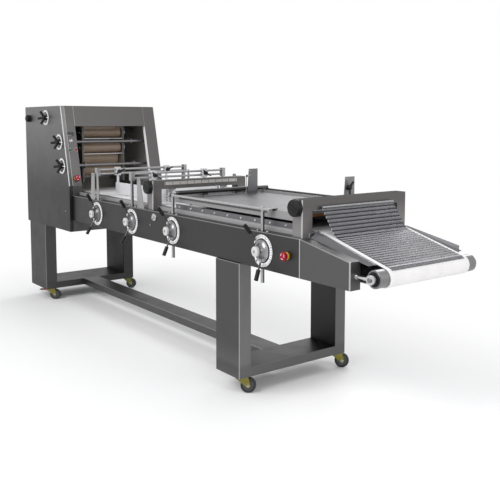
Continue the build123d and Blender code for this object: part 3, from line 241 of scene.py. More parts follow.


# painted highlight along the near pan's sloping front edge
def headHighlights(x, y, z):
    slope = (x - headHigh.x + (z - kinkHeight) * frontSlope > -highlightWidth * 1.2) * (z > kinkHeight)
    return slope * (y < headFace + highlightWidth * 1.2)


def frontHighlights(x, y, z):  # painted highlights on the near edge, and on the seams over the window
    seams = 0.5 * band(y, *frontLook["nearSeam"]) + 0.225 * band(y, *frontLook["farSeam"])
    return 0.45 * (y < innerFace + highlightWidth) * (z > kinkHeight) + seams * (z > frontLook["seamFoot"])


def farJamb(x, y, z):
    return band(y, *frontLook["jamb"]) * band(z, *frontLook["window"])


earFoot = coverTop + 0.004


# painted highlights on the near face's end and top edges, and painted light on the ears above
def coverHighlights(x, y, z):
    edges = (x > coverEnd - highlightWidth) + 0.35 * (z > coverTop - highlightWidth)
    return 0.62 * (z > earFoot) + (y < nearFace + highlightWidth) * (z < earFoot) * edges


# painted highlights on the nose's end edge and sloping top edge
def noseHighlights(x, y, z):
    top = z - coverTop + (x - coverEnd) * noseFall > -highlightWidth
    return (y < nearFace + highlightWidth) * (0.9 * (x > noseEnd - highlightWidth) + 0.3 * top)


noseLook = {"farFrom": 0.2, "outer": 0.001, "farTone": (0.235, 0.233, 0.245),
            "shelfTone": (0.145, 0.144, 0.15)}


def farNose(x, y, z):  # all but its outer face
    return band(y, tableY + noseLook["farFrom"], 2 * tableY - nearFace - noseLook["outer"])


def everywhere(x, y, z):
    return 1


footTop = 0.25  # below it the near leg is painted lighter, against the shaded floor it mirrors


# painted highlights on the leg's front and top edges, painted light on its front face and near foot
def legHighlights(x, y, z):
    edges = (x > legHigh.x - 0.7 * highlightWidth) + 0.8 * (z > legHigh.z - 0.7 * highlightWidth)
    foot = 0.9 * (y < legLow.y + skin) * (z < footTop) * (footTop - z)
    return 0.55 * (y < legLow.y + 0.7 * highlightWidth) * edges + 0.2 * (x > legHigh.x - skin) + foot


# painted highlight on the near front edge, painted light on the front and far faces
def postHighlights(x, y, z):
    edge = (y < postLow.y + 0.7 * highlightWidth) * (x > postHigh.x - 0.7 * highlightWidth)
    return 0.35 * edge + 0.09 * (x > postHigh.x - skin) + 0.12 * (y > postHigh.y - skin)


portalLow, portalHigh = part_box("portal_frames")
portalLook = {"first": (0.079 - highlightWidth, 0.08), "endFrom": 1.2, "endTone": (0.11, 0.107, 0.106)}
portalCorners = [corner.co for corner in nodes["portal_frames"].data.vertices]
endPortalTop = max(corner.z for corner in portalCorners if corner.x > portalLook["endFrom"])


def portalHighlights(x, y, z):  # painted highlights on the front corners of both, and painted light on the near faces, which catch more light
    corner = (y < portalLow.y + highlightWidth) * (band(x, *portalLook["first"]) + (x > portalHigh.x - highlightWidth))
    return corner + 0.14 * (y < portalLow.y + skin)


def portalShades(x, y, z):
    return 0.6 * (z > portalHigh.z - skin)


def endPortalEdge(x, y, z):
    return (x > portalLook["endFrom"]) * (z > endPortalTop - skin)


bedLook = {"strip": tableY - 0.2895, "seam": 0.858, "top": 0.8843, "underBoard": (0.26, 1.31)}


def bedBands(x, y, z):  # lower half of the near edge strip
    return 0.75 * (y < bedLook["strip"]) * (z < bedLook["seam"])


def bedShades(x, y, z):  # upper half of it, with the screws, and its top under the board
    upper = 0.32 * (y < bedLook["strip"]) * (z > bedLook["seam"])
    return upper + 0.6 * (z > bedLook["top"]) * band(x, *bedLook["underBoard"])


trayLook = {"wall": 0.006, "rim": 0.94, "litFrom": 0.7, "gapDepth": 0.004, "gap": (0.917, 0.938),
            "gapRun": (0.31, 1.1)}


def trayHighlights(x, y, z):  # painted light on its near side, and on the walls that face the light
    wall = trayLook["wall"]
    walls = (x < trayLow.x + wall) + (x > trayHigh.x - wall) + (y > trayHigh.y - wall)
    rim = (0.12 + 0.18 * (x > trayLook["litFrom"])) * (z > trayLook["rim"])
    return 0.55 * (y < trayLow.y + skin) + 0.8 * walls + rim


def trayShades(x, y, z):  # painted shadow in the gap under the near rail
    near = y < trayLow.y + trayLook["gapDepth"]
    return 0.8 * near * band(z, *trayLook["gap"]) * band(x, *trayLook["gapRun"])


postLook = {"radius": 0.0098, "near": tableY - 0.31, "liftTop": 0.99, "boardTop": 0.925}
railLook = {"tubeFrom": 0.93, "tube": (tableY - 0.3, tableY + 0.25), "near": tableY - 0.318, "top": 0.929}


def besidePosts(x, y, spots):  # the side of each near post that is turned from the light
    across, radius, sides = y - tableY + postOut / 1000, postLook["radius"], 0
    for spot in spots:
        middle = spot / 1000
        shadow = 0.6 * (x - middle) + 0.8 * across > 0.001
        sides = sides + shadow * band(x, middle - radius, middle + radius)
    return 0.8 * (y < postLook["near"]) * sides


def postShades(x, y, z):
    return (z < postLook["liftTop"]) * besidePosts(x, y, postX[:2])


def railShades(x, y, z):
    tube = 0.6 * (z > railLook["tubeFrom"]) * band(y, *railLook["tube"])
    return tube + (z < postLook["boardTop"]) * besidePosts(x, y, postX[2:])


# painted highlight along the top of the near rail
def railHighlights(x, y, z):
    return 0.75 * (y < railLook["near"]) * (z > railLook["top"])


def stretcherHighlights(x, y, z):  # painted light on the near side, and a painted highlight on the edge above it
    edge = (y < stretcherLow.y + highlightWidth) * (z > stretcherHigh.z - highlightWidth)
    return 0.07 * (y < stretcherLow.y + skin) + 0.22 * edge


def stretcherShades(x, y, z):
    return 0.45 * (z > stretcherHigh.z - skin) * (y > stretcherLow.y + highlightWidth)


clad(brushedSteel("headNearSteel", "head", "along", 0.42, headHighlights), "head_near_side")
clad(brushedSteel("headFrontSteel", "front", "across", 0.44, frontHighlights, glints=farJamb), "head_front_frame")
clad(brushedSteel("coverSteel", "cover", "along", 0.42, coverHighlights), "near_side_cover", "far_side_cover")
clad(brushedSteel("noseSteel", "nose", "along", 0.42, noseHighlights, flatShade=(farNose, noseLook["farTone"])),
     "nose_covers")
clad(brushedSteel("beltLegSteel", "leg", "up", 0.44, legHighlights), "belt_leg_frame")
clad(brushedSteel("headLegSteel", "headLeg", "up", 0.44, postHighlights), "head_leg_frame")
clad(brushedSteel("stretcherSteel", "stretcher", "along", 0.44, stretcherHighlights, stretcherShades), "stretcher")
clad(brushedSteel("portalSteel", "portal", "across", 0.4, portalHighlights, portalShades,
                  flatShade=(endPortalEdge, portalLook["endTone"])), "portal_frames")
clad(brushedSteel("traySteel", "tray", "along", 0.4, trayHighlights, trayShades, spread=0.06), "board_tray")
clad(brushedSteel("bedSteel", "bed", "along", 0.4, bedBands, bedShades, spread=0.06), "belt_bed")
clad(brushedSteel("railSteel", "rod", "even", 0.28, railHighlights, railShades, spread=0.06), "board_posts")
clad(brushedSteel("liftSteel", "rod", "even", 0.28, shades=postShades, spread=0.06), "lift_frame")
clad(brushedSteel("brightSteelAcross", "roller", "across", 0.3, spread=0.06), "end_roller", "drive_drum")
# the nose shelves: one flat, darker tone with no mirror, as painted shade
shelfSteel = brushedSteel("shelfSteel", "nose", "along", 0.42, flatShade=(everywhere, noseLook["shelfTone"]))
screwSteel = brushedSteel("screwSteel", "screw", "even", 0.22, spread=0.05)
rodSteel = brushedSteel("rodSteel", "rod", "even", 0.28, spread=0.06)
polished = brushedSteel("polishedSteel", "polished", "even", 0.22, spread=0.05)
clad(rodSteel, "infeed_carrier", "upper_carrier", "lower_carrier")
clad(screwSteel, "take_up_bolts")


# sheet that is seen from inside: the faces that split picks take the second tone and less metal; in the hood,
# base and far pan that is painted light on faces that lie in the head's shade
def insideSteel(name, split, dim=steelTone["front"], lit=steelTone["inner"]):
    look = Look(name)
    fine = look.noise(3, 3, 0.6, grains["along"])
    inside = split(*look.axes())
    colour = look.tint(inside, dim, lit)
    look.set({"Metallic": 1 - 0.8 * inside})
    return look.done(colour, 0.4 + 0.14 * fine, fine, 0.1, 0.0004)


farPan = {"outer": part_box("head_far_side")[1].y - 0.0005, "edge": headHigh.x - 0.004}
hoodLow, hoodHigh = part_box("head_hood")
pedestalFoot = 0.66
scrapers = {"half": 0.1552, "bright": (0.46, 0.46, 0.47), "cheek": (0.1, 0.098, 0.092)}


def insideFarPan(x, y, z):  # all but its outer face and its front edge
    lean = (z > kinkHeight) * (z - kinkHeight) * frontSlope
    return (y < farPan["outer"]) * (x + lean < farPan["edge"])


def insideHood(x, y, z):
    return (x > hoodLow.x + skin) * (z < hoodHigh.z - skin)


def insideBase(x, y, z):  # the pedestals
    return z > pedestalFoot


def besideRollers(x, y, z):
    return (y < tableY - scrapers["half"]) + (y > tableY + scrapers["half"])


clad(insideSteel("hoodSteel", insideHood), "head_hood")
clad(insideSteel("headBaseSteel", insideBase), "head_base")
clad(insideSteel("headFarSteel", insideFarPan), "head_far_side")
clad(insideSteel("rollerFrameSteel", besideRollers, scrapers["bright"], scrapers["cheek"]), "roller_frame")

blackPlastic = plainPlastic("blackGripPlastic", (0.01, 0.01, 0.011), 0.38, 600, 0.12, shine=0.2)
scaleWhite = plainPlastic("scaleWhitePlastic", (0.8,) * 3, 0.35, 500, 0.04, 0.02)
clad(scaleWhite, "scale_rings")
clad(plainPlastic("whiteBoardPlastic", (0.6, 0.6, 0.62), 0.42, 300, 0.06, 0.02),
     "near_side_guide", "far_side_guide", "near_portal_guide", "far_portal_guide")
clad(plainPlastic("redCapPlastic", (0.3, 0.004, 0.026), 0.24, 400, 0.03, 0.05, shine=0.25),
     "head_stop_button", "table_stop_button")
clad(plainPlastic("stopCapPlastic", (0.2, 0.012, 0.02), 0.28, 400, 0.03, 0.05, 0.3), "stop_button")
clad(plainPlastic("greenCapPlastic", (0.008, 0.085, 0.035), 0.28, 400, 0.03, 0.05, 0.3), "start_button")
clad(plainPlastic("motorPaint", (0.16, 0.18, 0.2), 0.4, 250, 0.2), "gear_motor")


def gripAndShaft(name, face):  # black grip outside a panel, steel shaft inside it
    look = Look(name, shine=0.2)
    inside = look.axes()[1] > face
    cloud = look.noise(60, 3)
    black = look.tint(cloud, (0.006, 0.006, 0.007), (0.012, 0.012, 0.013))
    colour = look.tint(inside, black, (0.2, 0.2, 0.205))
    look.set({"Metallic": 0.7 * inside})
    return look.done(colour, 0.42 - 0.12 * inside + 0.1 * (cloud - 0.5), look.noise(600, 3), 0.1, 0.0003)


clad(gripAndShaft("gapHandleGrip", headFace), *(place + "_gap_handle" for place in gapHandles), "head_knob")
clad(gripAndShaft("portalKnobGrip", portalLow.y), "guide_knob", "end_knob")

# threads: phase of the weave per metre; the others: where the head and the board shade it
beltLook = {"threads": 5200, "head": (-1.1, -0.7, 0.3, 1), "board": (0.27, 0.36), "past": (1.32, 1.52, 1, 0)}


def beltCloth():
    look = Look("beltCloth")
    x, y, z = look.axes()
    warp = look.maths("SINE", y * beltLook["threads"])
    weft = look.maths("SINE", (x + z) * beltLook["threads"])
    weave = 0.5 + 0.25 * warp * weft + 0.25 * warp
    worn = look.span(look.noise(3, 4, 0.6, (0.4, 3, 1)), 0.35, 0.75)
    cloth = look.tint(worn, (0.76, 0.745, 0.75), (0.68, 0.665, 0.668))
    underBoard = 1 - 0.65 * look.span(x, *beltLook["board"]) * look.span(x, *beltLook["past"])
    cloth = look.scaled(cloth, look.span(x, *beltLook["head"]) * underBoard)
    colour = look.tint(0.12 * weave, cloth, (0.55, 0.54, 0.52))
    return look.done(colour, 0.58 + 0.12 * worn, weave, 0.12, 0.0003)


sleeveHalf = 0.1505


def rollerResin():  # tan sleeve between steel journals
    look = Look("rollerResin")
    sleeve = look.maths("ABSOLUTE", look.axes()[1] - tableY) < sleeveHalf
    cloudy = look.noise(14, 4, 0.6, (1, 0.4, 1))
    tan = look.tint(look.span(cloudy, 0.3, 0.7), (0.255, 0.185, 0.13), (0.315, 0.235, 0.175))
    colour = look.tint(sleeve, (0.45, 0.45, 0.46), tan)
    look.set({"Metallic": 1 - sleeve})
    return look.done(colour, 0.34 + 0.12 * cloudy, look.noise(220, 3, 0.5, (1, 0.2, 1)), 0.06, 0.0004)


shadowLine = (0.906, 0.911)  # below it the sole is painted dark: the shadow between the board and the belt


def soleBoard():
    look = Look("soleBoardResin")
    streak = look.noise(6, 5, 0.62, (1, 14, 40))
    rings = look.noise(40, 3, 0.6, (0.5, 6, 6))
    brown = look.tint(look.span(streak, 0.3, 0.7), (0.34, 0.125, 0.03), (0.5, 0.22, 0.06))
    grown = look.tint(0.35 * rings, brown, (0.15, 0.06, 0.02))
    aboveShadow = look.span(look.axes()[2], *shadowLine)
    colour = look.tint(aboveShadow, (0.022, 0.014, 0.01), grown)
    return look.done(colour, 0.42 + 0.2 * streak, rings, 0.12, 0.0005)


def zincFork():
    look = Look("yellowZinc", 0.75)
    cloud = look.noise(60, 4, 0.65)
    tint = look.noise(22)
    base = look.tint(look.span(cloud, 0.3, 0.7), (0.18, 0.155, 0.03), (0.27, 0.24, 0.055))
    colour = look.tint(look.span(tint, 0.52, 0.72), base, (0.185, 0.205, 0.08))
    return look.done(colour, 0.34 + 0.2 * cloud, look.noise(300), 0.08, 0.0004)


tread = (0.0296, 0.0304)  # where the grey hub turns into the black tyre


def castorWheel(name, centre):
    look = Look(name)
    tyre = look.span(look.away(centre), *tread)
    dust = look.span(look.noise(70, 4, 0.65), 0.45, 0.8)
    grey = look.tint(dust, (0.055, 0.06, 0.06), (0.1,) * 3)
    black = look.tint(dust, (0.012, 0.012, 0.013), (0.035, 0.034, 0.032))
    colour = look.tint(tyre, grey, black)
    return look.done(colour, 0.42 + 0.2 * tyre + 0.12 * dust, look.noise(420), 0.1, 0.0003)


padEdge = (0.04, 0.0405)  # from its pivot, where the brake's red arm ends in a black pad


def brakePedal():
    look = Look("brakePedalPaint")
    pad = look.span(look.away(jointPlace("brake_press")), *padEdge)
    chip = look.span(look.noise(160, 4, 0.7), 0.56, 0.62)
    red = look.tint(chip, (0.42, 0.04, 0.025), (0.2, 0.16, 0.14))
    colour = look.tint(pad, red, (0.016, 0.016, 0.017))
    return look.done(colour, 0.36 + 0.25 * pad + 0.1 * chip, look.noise(300), 0.1, 0.0003)


clad(beltCloth(), "belt")
clad(rollerResin(), "infeed_roller", "upper_roller", "lower_roller", "infeed_mate_roller", "backing_roller")
clad(soleBoard(), "pressure_board")
clad(brakePedal(), "brake_pedal")
zinc = zincFork()
for castor in castorNames:
    clad(zinc, castor + "_castor_fork")
    wheel = castor + "_castor_wheel"
    clad(castorWheel(castor + "WheelRubber", middleOf(wheel)), wheel)

# a dial: dished steel hub, pale knob in its middle, steel lever with black grips
dialLook = {"knobRadius": 0.0245, "knobFrom": 0.0345, "armFrom": 0.053, "gripFrom": 0.0835,
            "dish": (0.026, 0.046), "turnMarks": 9000}


def dialSteel(name, axle):
    look = Look(name, shine=0.2)
    x, y, z = look.axes()
    out = ((x - axle.x) ** 2 + (z - axle.z) ** 2) ** 0.5
    front = nearFace - y  # how far it stands out of the cover
    knob = (out < dialLook["knobRadius"]) * (front > dialLook["knobFrom"])
    arm = out > dialLook["armFrom"]
    grip = out > dialLook["gripFrom"]
    cloud = look.noise(40, 3, 0.6)
    # painted light and shade: brighter towards the table's end, and away from the knob
    level = 0.58 + 0.24 * (axle.x - postX[0] / 1000)
    steel = look.tint(look.span(cloud, 0.3, 0.7), (0.27, 0.27, 0.28), (0.36, 0.36, 0.37))
    steel = look.scaled(steel, level * look.span(out, *dialLook["dish"], 0.55, 1.1))
    steel = look.tint(arm, steel, (0.07, 0.07, 0.072))
    pale = look.tint(cloud, (0.56, 0.56, 0.55), (0.68, 0.68, 0.67))
    colour = look.tint(grip, look.tint(knob, steel, pale), (0.005, 0.005, 0.006))
    look.set({"Metallic": (1 - grip) * (1 - 0.55 * knob)})
    rings = look.maths("SINE", out * dialLook["turnMarks"])
    return look.done(colour, 0.3 + 0.1 * cloud + 0.08 * grip, rings, 0.05, 0.0002)


dialAxles = {number: jointPlace("dial_%s_turn" % number) for number in "1234"}
for number, axle in dialAxles.items():
    clad(dialSteel("dialSteel" + number, axle), "height_dial_" + number)

matGrade = {"hangs": (1.47, 1.5, 1.7, 1), "lies": (1.52, 1.62, 1, 0.72), "overRoller": (1.775, 1.795)}


def matSteel(name, dark, light):  # lifted where it hangs in shade, held down where it lies in light
    look = Look(name, 1)
    along = look.axes()[0]
    cloud = look.noise(30, 4, 0.6)
    level = look.span(along, *matGrade["hangs"]) * look.span(along, *matGrade["lies"])
    steel = look.scaled(look.tint(cloud, dark, light), level)
    # painted highlight on the rows that wrap over the end roller
    bright = 0.16 * look.span(along, *matGrade["overRoller"])
    colour = look.tint(bright, steel, (0.4, 0.4, 0.42))
    return look.done(colour, 0.28 + 0.2 * cloud, look.noise(500), 0.05, 0.0002)


matLight = matSteel("matSpiralSteel", (0.086, 0.085, 0.092), (0.124, 0.123, 0.132))
# the cross rods get a far darker copy of the spirals' steel: partly the rods themselves, partly the painted
# shadow along each one
matRodShadow = matSteel("matRodSteel", (0.016, 0.016, 0.018), (0.028, 0.028, 0.03))
clad(matLight, "wire_mat")
print("stage: CAD nodes clad")


# small pieces are modelled once at the origin, facing up, and then set in place
def clearSelection():
    if bpy.context.mode != "OBJECT":
        bpy.ops.object.mode_set(mode="OBJECT")
    bpy.ops.object.select_all(action="DESELECT")


def active():
    return bpy.context.active_object


def alone(piece):  # the only one selected
    clearSelection()
    piece.select_set(True)
    bpy.context.view_layer.objects.active = piece


def settled():  # the active piece, with its place and turn worked into its mesh
    bpy.ops.object.transform_apply()
    return active()


def editing(action):  # edit mode, with all or nothing selected
    bpy.ops.object.mode_set(mode="EDIT")
    bpy.ops.mesh.select_all(action=action)


def pick(piece, kind, test):  # select faces or edges by where they lie
    editing("DESELECT")
    bpy.ops.mesh.select_mode(type=kind)
    shape = bmesh.from_edit_mesh(piece.data)
    for part in shape.faces if kind == "FACE" else shape.edges:
        if test(part):
            part.select_set(True)
    bmesh.update_edit_mesh(piece.data)


def pushed(step):
    bpy.ops.mesh.extrude_region_move(TRANSFORM_OT_translate={"value": (0, 0, step)})


def resized(across, height):
    bpy.ops.transform.resize(value=(across, across, 1), center_override=(0, 0, height))


def turnOut():  # all faces outwards
    editing("SELECT")
    bpy.ops.mesh.normals_make_consistent()


def smooth(piece, angle=40):
    bpy.ops.object.mode_set(mode="OBJECT")
    bpy.ops.object.shade_smooth_by_angle(angle=math.radians(angle))
    return piece


def centre(part):
    return sum((corner.co for corner in part.verts), Vector()) / len(part.verts)


def turned(steps, sides=32):  # lathe work: (radius, height) from the foot up
    clearSelection()
    (radius, low), (second, top) = steps[:2]
    place = (0, 0, (low + top) / 2)
    bpy.ops.mesh.primitive_cylinder_add(vertices=sides, radius=radius, depth=top - low, location=place)
    piece = settled()
    pick(piece, "FACE", lambda face: face.normal.z > 0.9)
    resized(second / radius, top)
    for (before, foot), (after, high) in zip(steps[1:], steps[2:]):
        pushed(high - foot)
        resized(after / before, high)
    turnOut()
    return smooth(piece, 35)


def bar(low, high, ease, segments=2):  # square bar with eased edges
    clearSelection()
    low, high = Vector(low), Vector(high)
    bpy.ops.mesh.primitive_cube_add(size=1, location=(low + high) / 2)
    active().scale = high - low
    piece = settled()
    editing("SELECT")
    bpy.ops.mesh.bevel(offset=ease, segments=segments)
    return smooth(piece)


def collar(inner, outer, height, ease):  # flat ring with a hole
    clearSelection()
    bpy.ops.mesh.primitive_circle_add(vertices=36, radius=outer, location=(0, 0, 0))
    piece = active()
    editing("SELECT")
    bpy.ops.mesh.extrude_edges_move(TRANSFORM_OT_translate={"value": (0, 0, 0)})
    resized(inner / outer, 0)
    turnOut()
    pushed(height)
    turnOut()

    def rim(edge):
        return edge.is_manifold and edge.calc_face_angle(0) > 1 and centre(edge).z > height * 0.9

    pick(piece, "EDGE", rim)
    bpy.ops.mesh.bevel(offset=ease, segments=2)
    return smooth(piece, 35)


def setAt(piece, place, facing, roll=0):
    turn = Vector(facing).to_track_quat("Z", "Y").to_matrix().to_4x4()
    piece.matrix_world = Matrix.Translation(Vector(place)) @ turn @ Matrix.Rotation(roll, 4, "Z")
    alone(piece)
    return settled()


def copied(piece):
    alone(piece)
    bpy.ops.object.duplicate()
    return active()


def joined(pieces):
    alone(pieces[0])
    for piece in pieces:
        piece.select_set(True)
    if len(pieces) > 1:
        bpy.ops.object.join()
    return active()


def stamped(model, spots, facing):  # copies of one model, joined: a spot is a place, or a place and a roll
    copies = []
    for spot in spots:
        place, roll = spot if isinstance(spot, tuple) else (spot, 0)
        copies.append(setAt(copied(model), place, facing, roll))
    bpy.data.objects.remove(model)
    return joined(copies)


def fit(piece, name, part, body="frame"):  # name it, dress it, and let it ride
    piece.name = name
    material, slot = part
    piece.data.materials.clear()
    piece.data.materials.append(material)
    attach(piece, body)
    return piece


def leftOf(heading):
    return Vector((-math.sin(heading), math.cos(heading)))


def at(along, across, up):  # millimetres along, across from the table's middle, and up
    return Vector((along / 1000, tableY + across / 1000, up / 1000))


toNear, toFar, toBelt, toHead = (0, -1, 0), (0, 1, 0), (1, 0, 0), (-1, 0, 0)
upwards = (0, 0, 1)
bothSides = (("near", -1, toNear), ("far", 1, toFar))
steelSlot, blackSlot, whiteSlot = "bright_steel", "black_plastic", "scale_white"
# what a piece is made of: material and slot
rodPart, polishedPart = (rodSteel, steelSlot), (polished, steelSlot)
blackPart, whitePart = (blackPlastic, blackSlot), (scaleWhite, whiteSlot)

# screws: pan heads with a socket
screwLook = {"strip": (0.0064, 0.0032), "pan": (0.0055, 0.0032), "bolt": (0.0065, 0.004)}
screwSteps = ((1, 0), (1, 0.55), (0.82, 1), (0.45, 1), (0.42, 0.4))  # shares of the radius and the height


def screws(name, kind, spots, facing, body="frame"):
    radius, height = screwLook[kind]
    head = turned([(radius * out, height * up) for out, up in screwSteps], 18)
    fit(stamped(head, spots, facing), name, (screwSteel, steelSlot) if kind == "strip" else rodPart, body)


stripX = [305 + 115 * step for step in range(9)]
earX = [-684, -617.5, -64]
for near, side, facing in bothSides:
    screws(near + "StripScrews", "strip", [at(x, side * 290, 871) for x in stripX], facing)
    screws(near + "EarBolts", "pan", [at(x, side * 349, 998) for x in earX], facing)
postBolts = [at(x + step, side * postOut, 835) for x in postX for step in (-37, 37) for side in (-1, 1)]
screws("postBolts", "bolt", postBolts, upwards)
screws("headPanelScrew", "pan", [at(-1087, -370, 721)], toNear)
screws("coverScrew", "pan", [at(75, -349, 750)], toNear)
uprightBolts = [at(324, 184, z) for z in (1054, 1028)] + [at(1130, 186, 1054)]
screws("uprightBolts", "pan", uprightBolts, toBelt, "board")
print("stage: screws set")

# scales: ticks round each ring, longer ones with a plain number
# kind: outer radius, width of the ring, ticks, degrees between them, half a tick's width
scaleLook = {"dial": (0.075, 0.017, 26, 9.6, 0.0018), "gap": (0.055, 0.012, 20, 12, 0.001)}
scaleThick, inkThick = 0.0025, 0.0003
inkBlack = plainPlastic("inkBlack", (0.015, 0.015, 0.016), 0.5, 300, 0.02)


def plainNumber(text, size):
    clearSelection()
    bpy.ops.object.text_add(location=(0, 0, 0))
    figure = active()
    figure.data.body, figure.data.size, figure.data.extrude = text, size, inkThick / 2
    figure.data.align_x = figure.data.align_y = "CENTER"
    bpy.ops.object.convert(target="MESH")
    return figure


def scaleMarks(name, axle, face, kind):
    radius, ring, count, step, half = scaleLook[kind]
    marks = []

    def put(piece, out, angle, roll):
        place = (axle.x + out * math.cos(angle), face - scaleThick, axle.z + out * math.sin(angle))
        marks.append(setAt(piece, place, toNear, roll))

    for tick in range(count + 1):
        angle = math.radians((tick - count / 2) * step)
        size = 0.55 if tick % 5 == 0 else 0.32
        mark = bar((-ring * size / 2, -half, 0), (ring * size / 2, half, inkThick), 0.0001, 1)
        put(mark, radius - ring * (0.36 if kind == "dial" else 0.1 + size / 2), angle, angle)
        if tick % 5 == 0:
            put(plainNumber(str(tick // 5), ring * 0.48), radius - ring * 0.8, angle, angle - math.pi / 2)
    fit(joined(marks), name, (inkBlack, blackSlot))


# the dials' scales run out in two tapered tips
tip = {"radius": 0.0665, "start": 127, "end": 156, "half": 0.00825}


def scaleTip(axle, side):
    first, last = (math.radians(side * tip[end]) for end in ("start", "end"))
    foot = Vector((math.cos(first), math.sin(first))) * tip["radius"]
    run = Vector((math.cos(last), math.sin(last))) * tip["radius"] - foot
    wedge = bar((0, -tip["half"], 0), (run.length, tip["half"], scaleThick), 0.0003, 1)
    pick(wedge, "FACE", lambda face: centre(face).x > run.length * 0.9)
    bpy.ops.transform.resize(value=(1, 0.1, 1), center_override=(run.length, 0, 0))
    smooth(wedge)
    return setAt(wedge, (axle.x + foot.x, nearFace, axle.z + foot.y), toNear, math.atan2(run.y, run.x))


for number, axle in dialAxles.items():
    scaleMarks("dialMarks" + number, axle, nearFace, "dial")
    fit(joined([scaleTip(axle, side) for side in (-1, 1)]), "dialTips" + number, whitePart)
pointer = {"low": (0.017, -0.003, 0.0033), "high": (0.072, 0.003, 0.0047)}
for place in gapHandles:
    axle = jointPlace(place + "_handle_turn")
    scaleMarks(place + "GapMarks", axle, headFace, "gap")
    line = setAt(bar(pointer["low"], pointer["high"], 0.0004, 1), (axle.x, headFace, axle.z), toNear)
    fit(line, place + "Pointer", whitePart, place + "_handle")
print("stage: scales marked")

# controls on the front post: across and up, in millimetres
controls = {"start": (-332, 1147), "stop": (-293, 1147), "headStop": (-310, 950), "selector": (-319, 1210),
            "screen": (-317, 1258)}
frontLean = math.atan2(frontRun, frontRise)
frontFacing = (math.cos(frontLean), 0, math.sin(frontLean))
kinkX = -1018
yellowPlastic = plainPlastic("yellowCollarPlastic", (0.62, 0.36, 0.02), 0.34, 400, 0.04, 0.05, 0.2)
darkGlass = plainPlastic("darkScreenGlass", (0.018, 0.02, 0.022), 0.1, 200, 0.01, 0.05, 0.6)


def frontAt(name):
    across, height = controls[name]
    return at(kinkX - (height - kinkHeight * 1000) * frontSlope, across, height)


for name in ("start", "stop"):
    fit(setAt(collar(0.0116, 0.0152, 0.0035, 0.001), frontAt(name), frontFacing), name + "Bezel", rodPart)

# the stops: a yellow collar, and white turn marks in three arcs, each of three short chords
turnMark = {"out": 0.0118, "low": (-0.0013, -0.0021, 0), "high": (0.0013, 0.0021, 0.0003),
            "spots": (20, 140, 260), "step": 19}


def stopDress(name, node, seat, facing, radius):
    fit(setAt(collar(0.01, radius, 0.0085, 0.002), seat, facing), name + "Collar", (yellowPlastic, whiteSlot))
    outward = Vector(facing)
    depth = max((corner.co - seat).dot(outward) for corner in nodes[node].data.vertices)
    marks = []
    for spot in turnMark["spots"]:
        for step in (-1, 0, 1):
            angle = math.radians(spot + step * turnMark["step"])
            place = Vector((math.cos(angle), math.sin(angle), 0)) * turnMark["out"]
            marks.append(setAt(bar(turnMark["low"], turnMark["high"], 0.0001, 1), place, upwards, angle))
    dressed = setAt(joined(marks), seat + outward * depth, facing)
    fit(dressed, name + "Marks", whitePart, node + "_cap")


stopDress("headStop", "head_stop_button", frontAt("headStop"), frontFacing, 0.017)
stopDress("tableStop", "table_stop_button", at(1304, -349, 748), toNear, 0.0175)

screen = bar((-0.024, -0.014, 0), (0.024, 0.014, 0.004), 0.0012)
pick(screen, "FACE", lambda face: face.normal.z > 0.99)
bpy.ops.mesh.inset(thickness=0.004)
pushed(-0.0015)
smooth(screen)
fit(setAt(screen, frontAt("screen"), frontFacing), "timerScreen", (darkGlass, blackSlot))

selectorSteps = [(0.0115, 0), (0.0115, 0.003), (0.0098, 0.005), (0.0078, 0.005), (0.0072, 0.01),
                 (0.006, 0.0115)]
selector = [turned(selectorSteps, 28), bar((-0.0018, -0.0085, 0.0095), (0.0018, 0.0085, 0.0165), 0.0008)]
fit(setAt(joined(selector), frontAt("selector"), frontFacing, 0.7), "selectorSwitch", polishedPart)
print("stage: controls set")

# wing knobs that clamp the side guides, and the ones on the board's rails
wingLook = {"hub": 0.0115, "span": 0.034, "depth": 0.024}


def wingKnob():
    hub, span, depth = wingLook.values()
    steps = [(hub * 1.15, 0), (hub * 1.15, 0.004), (hub, 0.006), (hub * 0.92, depth * 0.75),
             (hub * 0.6, depth * 0.85)]
    parts = [turned(steps, 24)]
    for roll in (math.pi, 0):
        wing = bar((0.004, -0.004, 0.005), (span, 0.004, depth * 0.8), 0.0022, 3)
        pick(wing, "FACE", lambda face: centre(face).x > span * 0.8)
        bpy.ops.transform.translate(value=(0, 0, depth * 0.45))
        bpy.ops.transform.resize(value=(1, 0.8, 0.8), center_override=(span, 0, depth))
        smooth(wing, 50)
        parts.append(setAt(wing, (0, 0, 0), upwards, roll))
    return joined(parts)


for side, body in ((-1, "near_guide"), (1, "far_guide")):
    spots = [(at(x + 17, side * 185, 1017), roll) for x, roll in zip(postX, (0.5, -0.6))]
    fit(stamped(wingKnob(), spots, toBelt), body + "WingKnobs", blackPart, body)
fit(setAt(wingKnob(), at(1130, 196, 1012), toBelt, 1.2), "uprightWingKnob", blackPart, "board")
railWings = [setAt(wingKnob(), at(287, side * postOut, 940), toHead, 0.5 * side) for side in (-1, 1)]
fit(joined(railWings), "railWingNuts", rodPart, "board")

# catch of the first upright: a thin rod with a black tip
catch = {"foot": at(318, 158, 925), "lean": (0, 0.07, 1), "length": 0.094, "radius": 0.0024}
catchTip = [(0.00385, -0.002), (0.0055, 0.004), (0.0055, 0.01), (0.0033, 0.0135)]
catchRod = turned([(catch["radius"], 0), (catch["radius"], catch["length"])], 14)
fit(setAt(catchRod, catch["foot"], catch["lean"]), "uprightCatch", rodPart, "board")
tipFoot = catch["foot"] + Vector(catch["lean"]).normalized() * catch["length"]
fit(setAt(turned(catchTip, 18), tipFoot, catch["lean"]), "uprightCatchTip", blackPart, "board")
print("stage: wing knobs set")

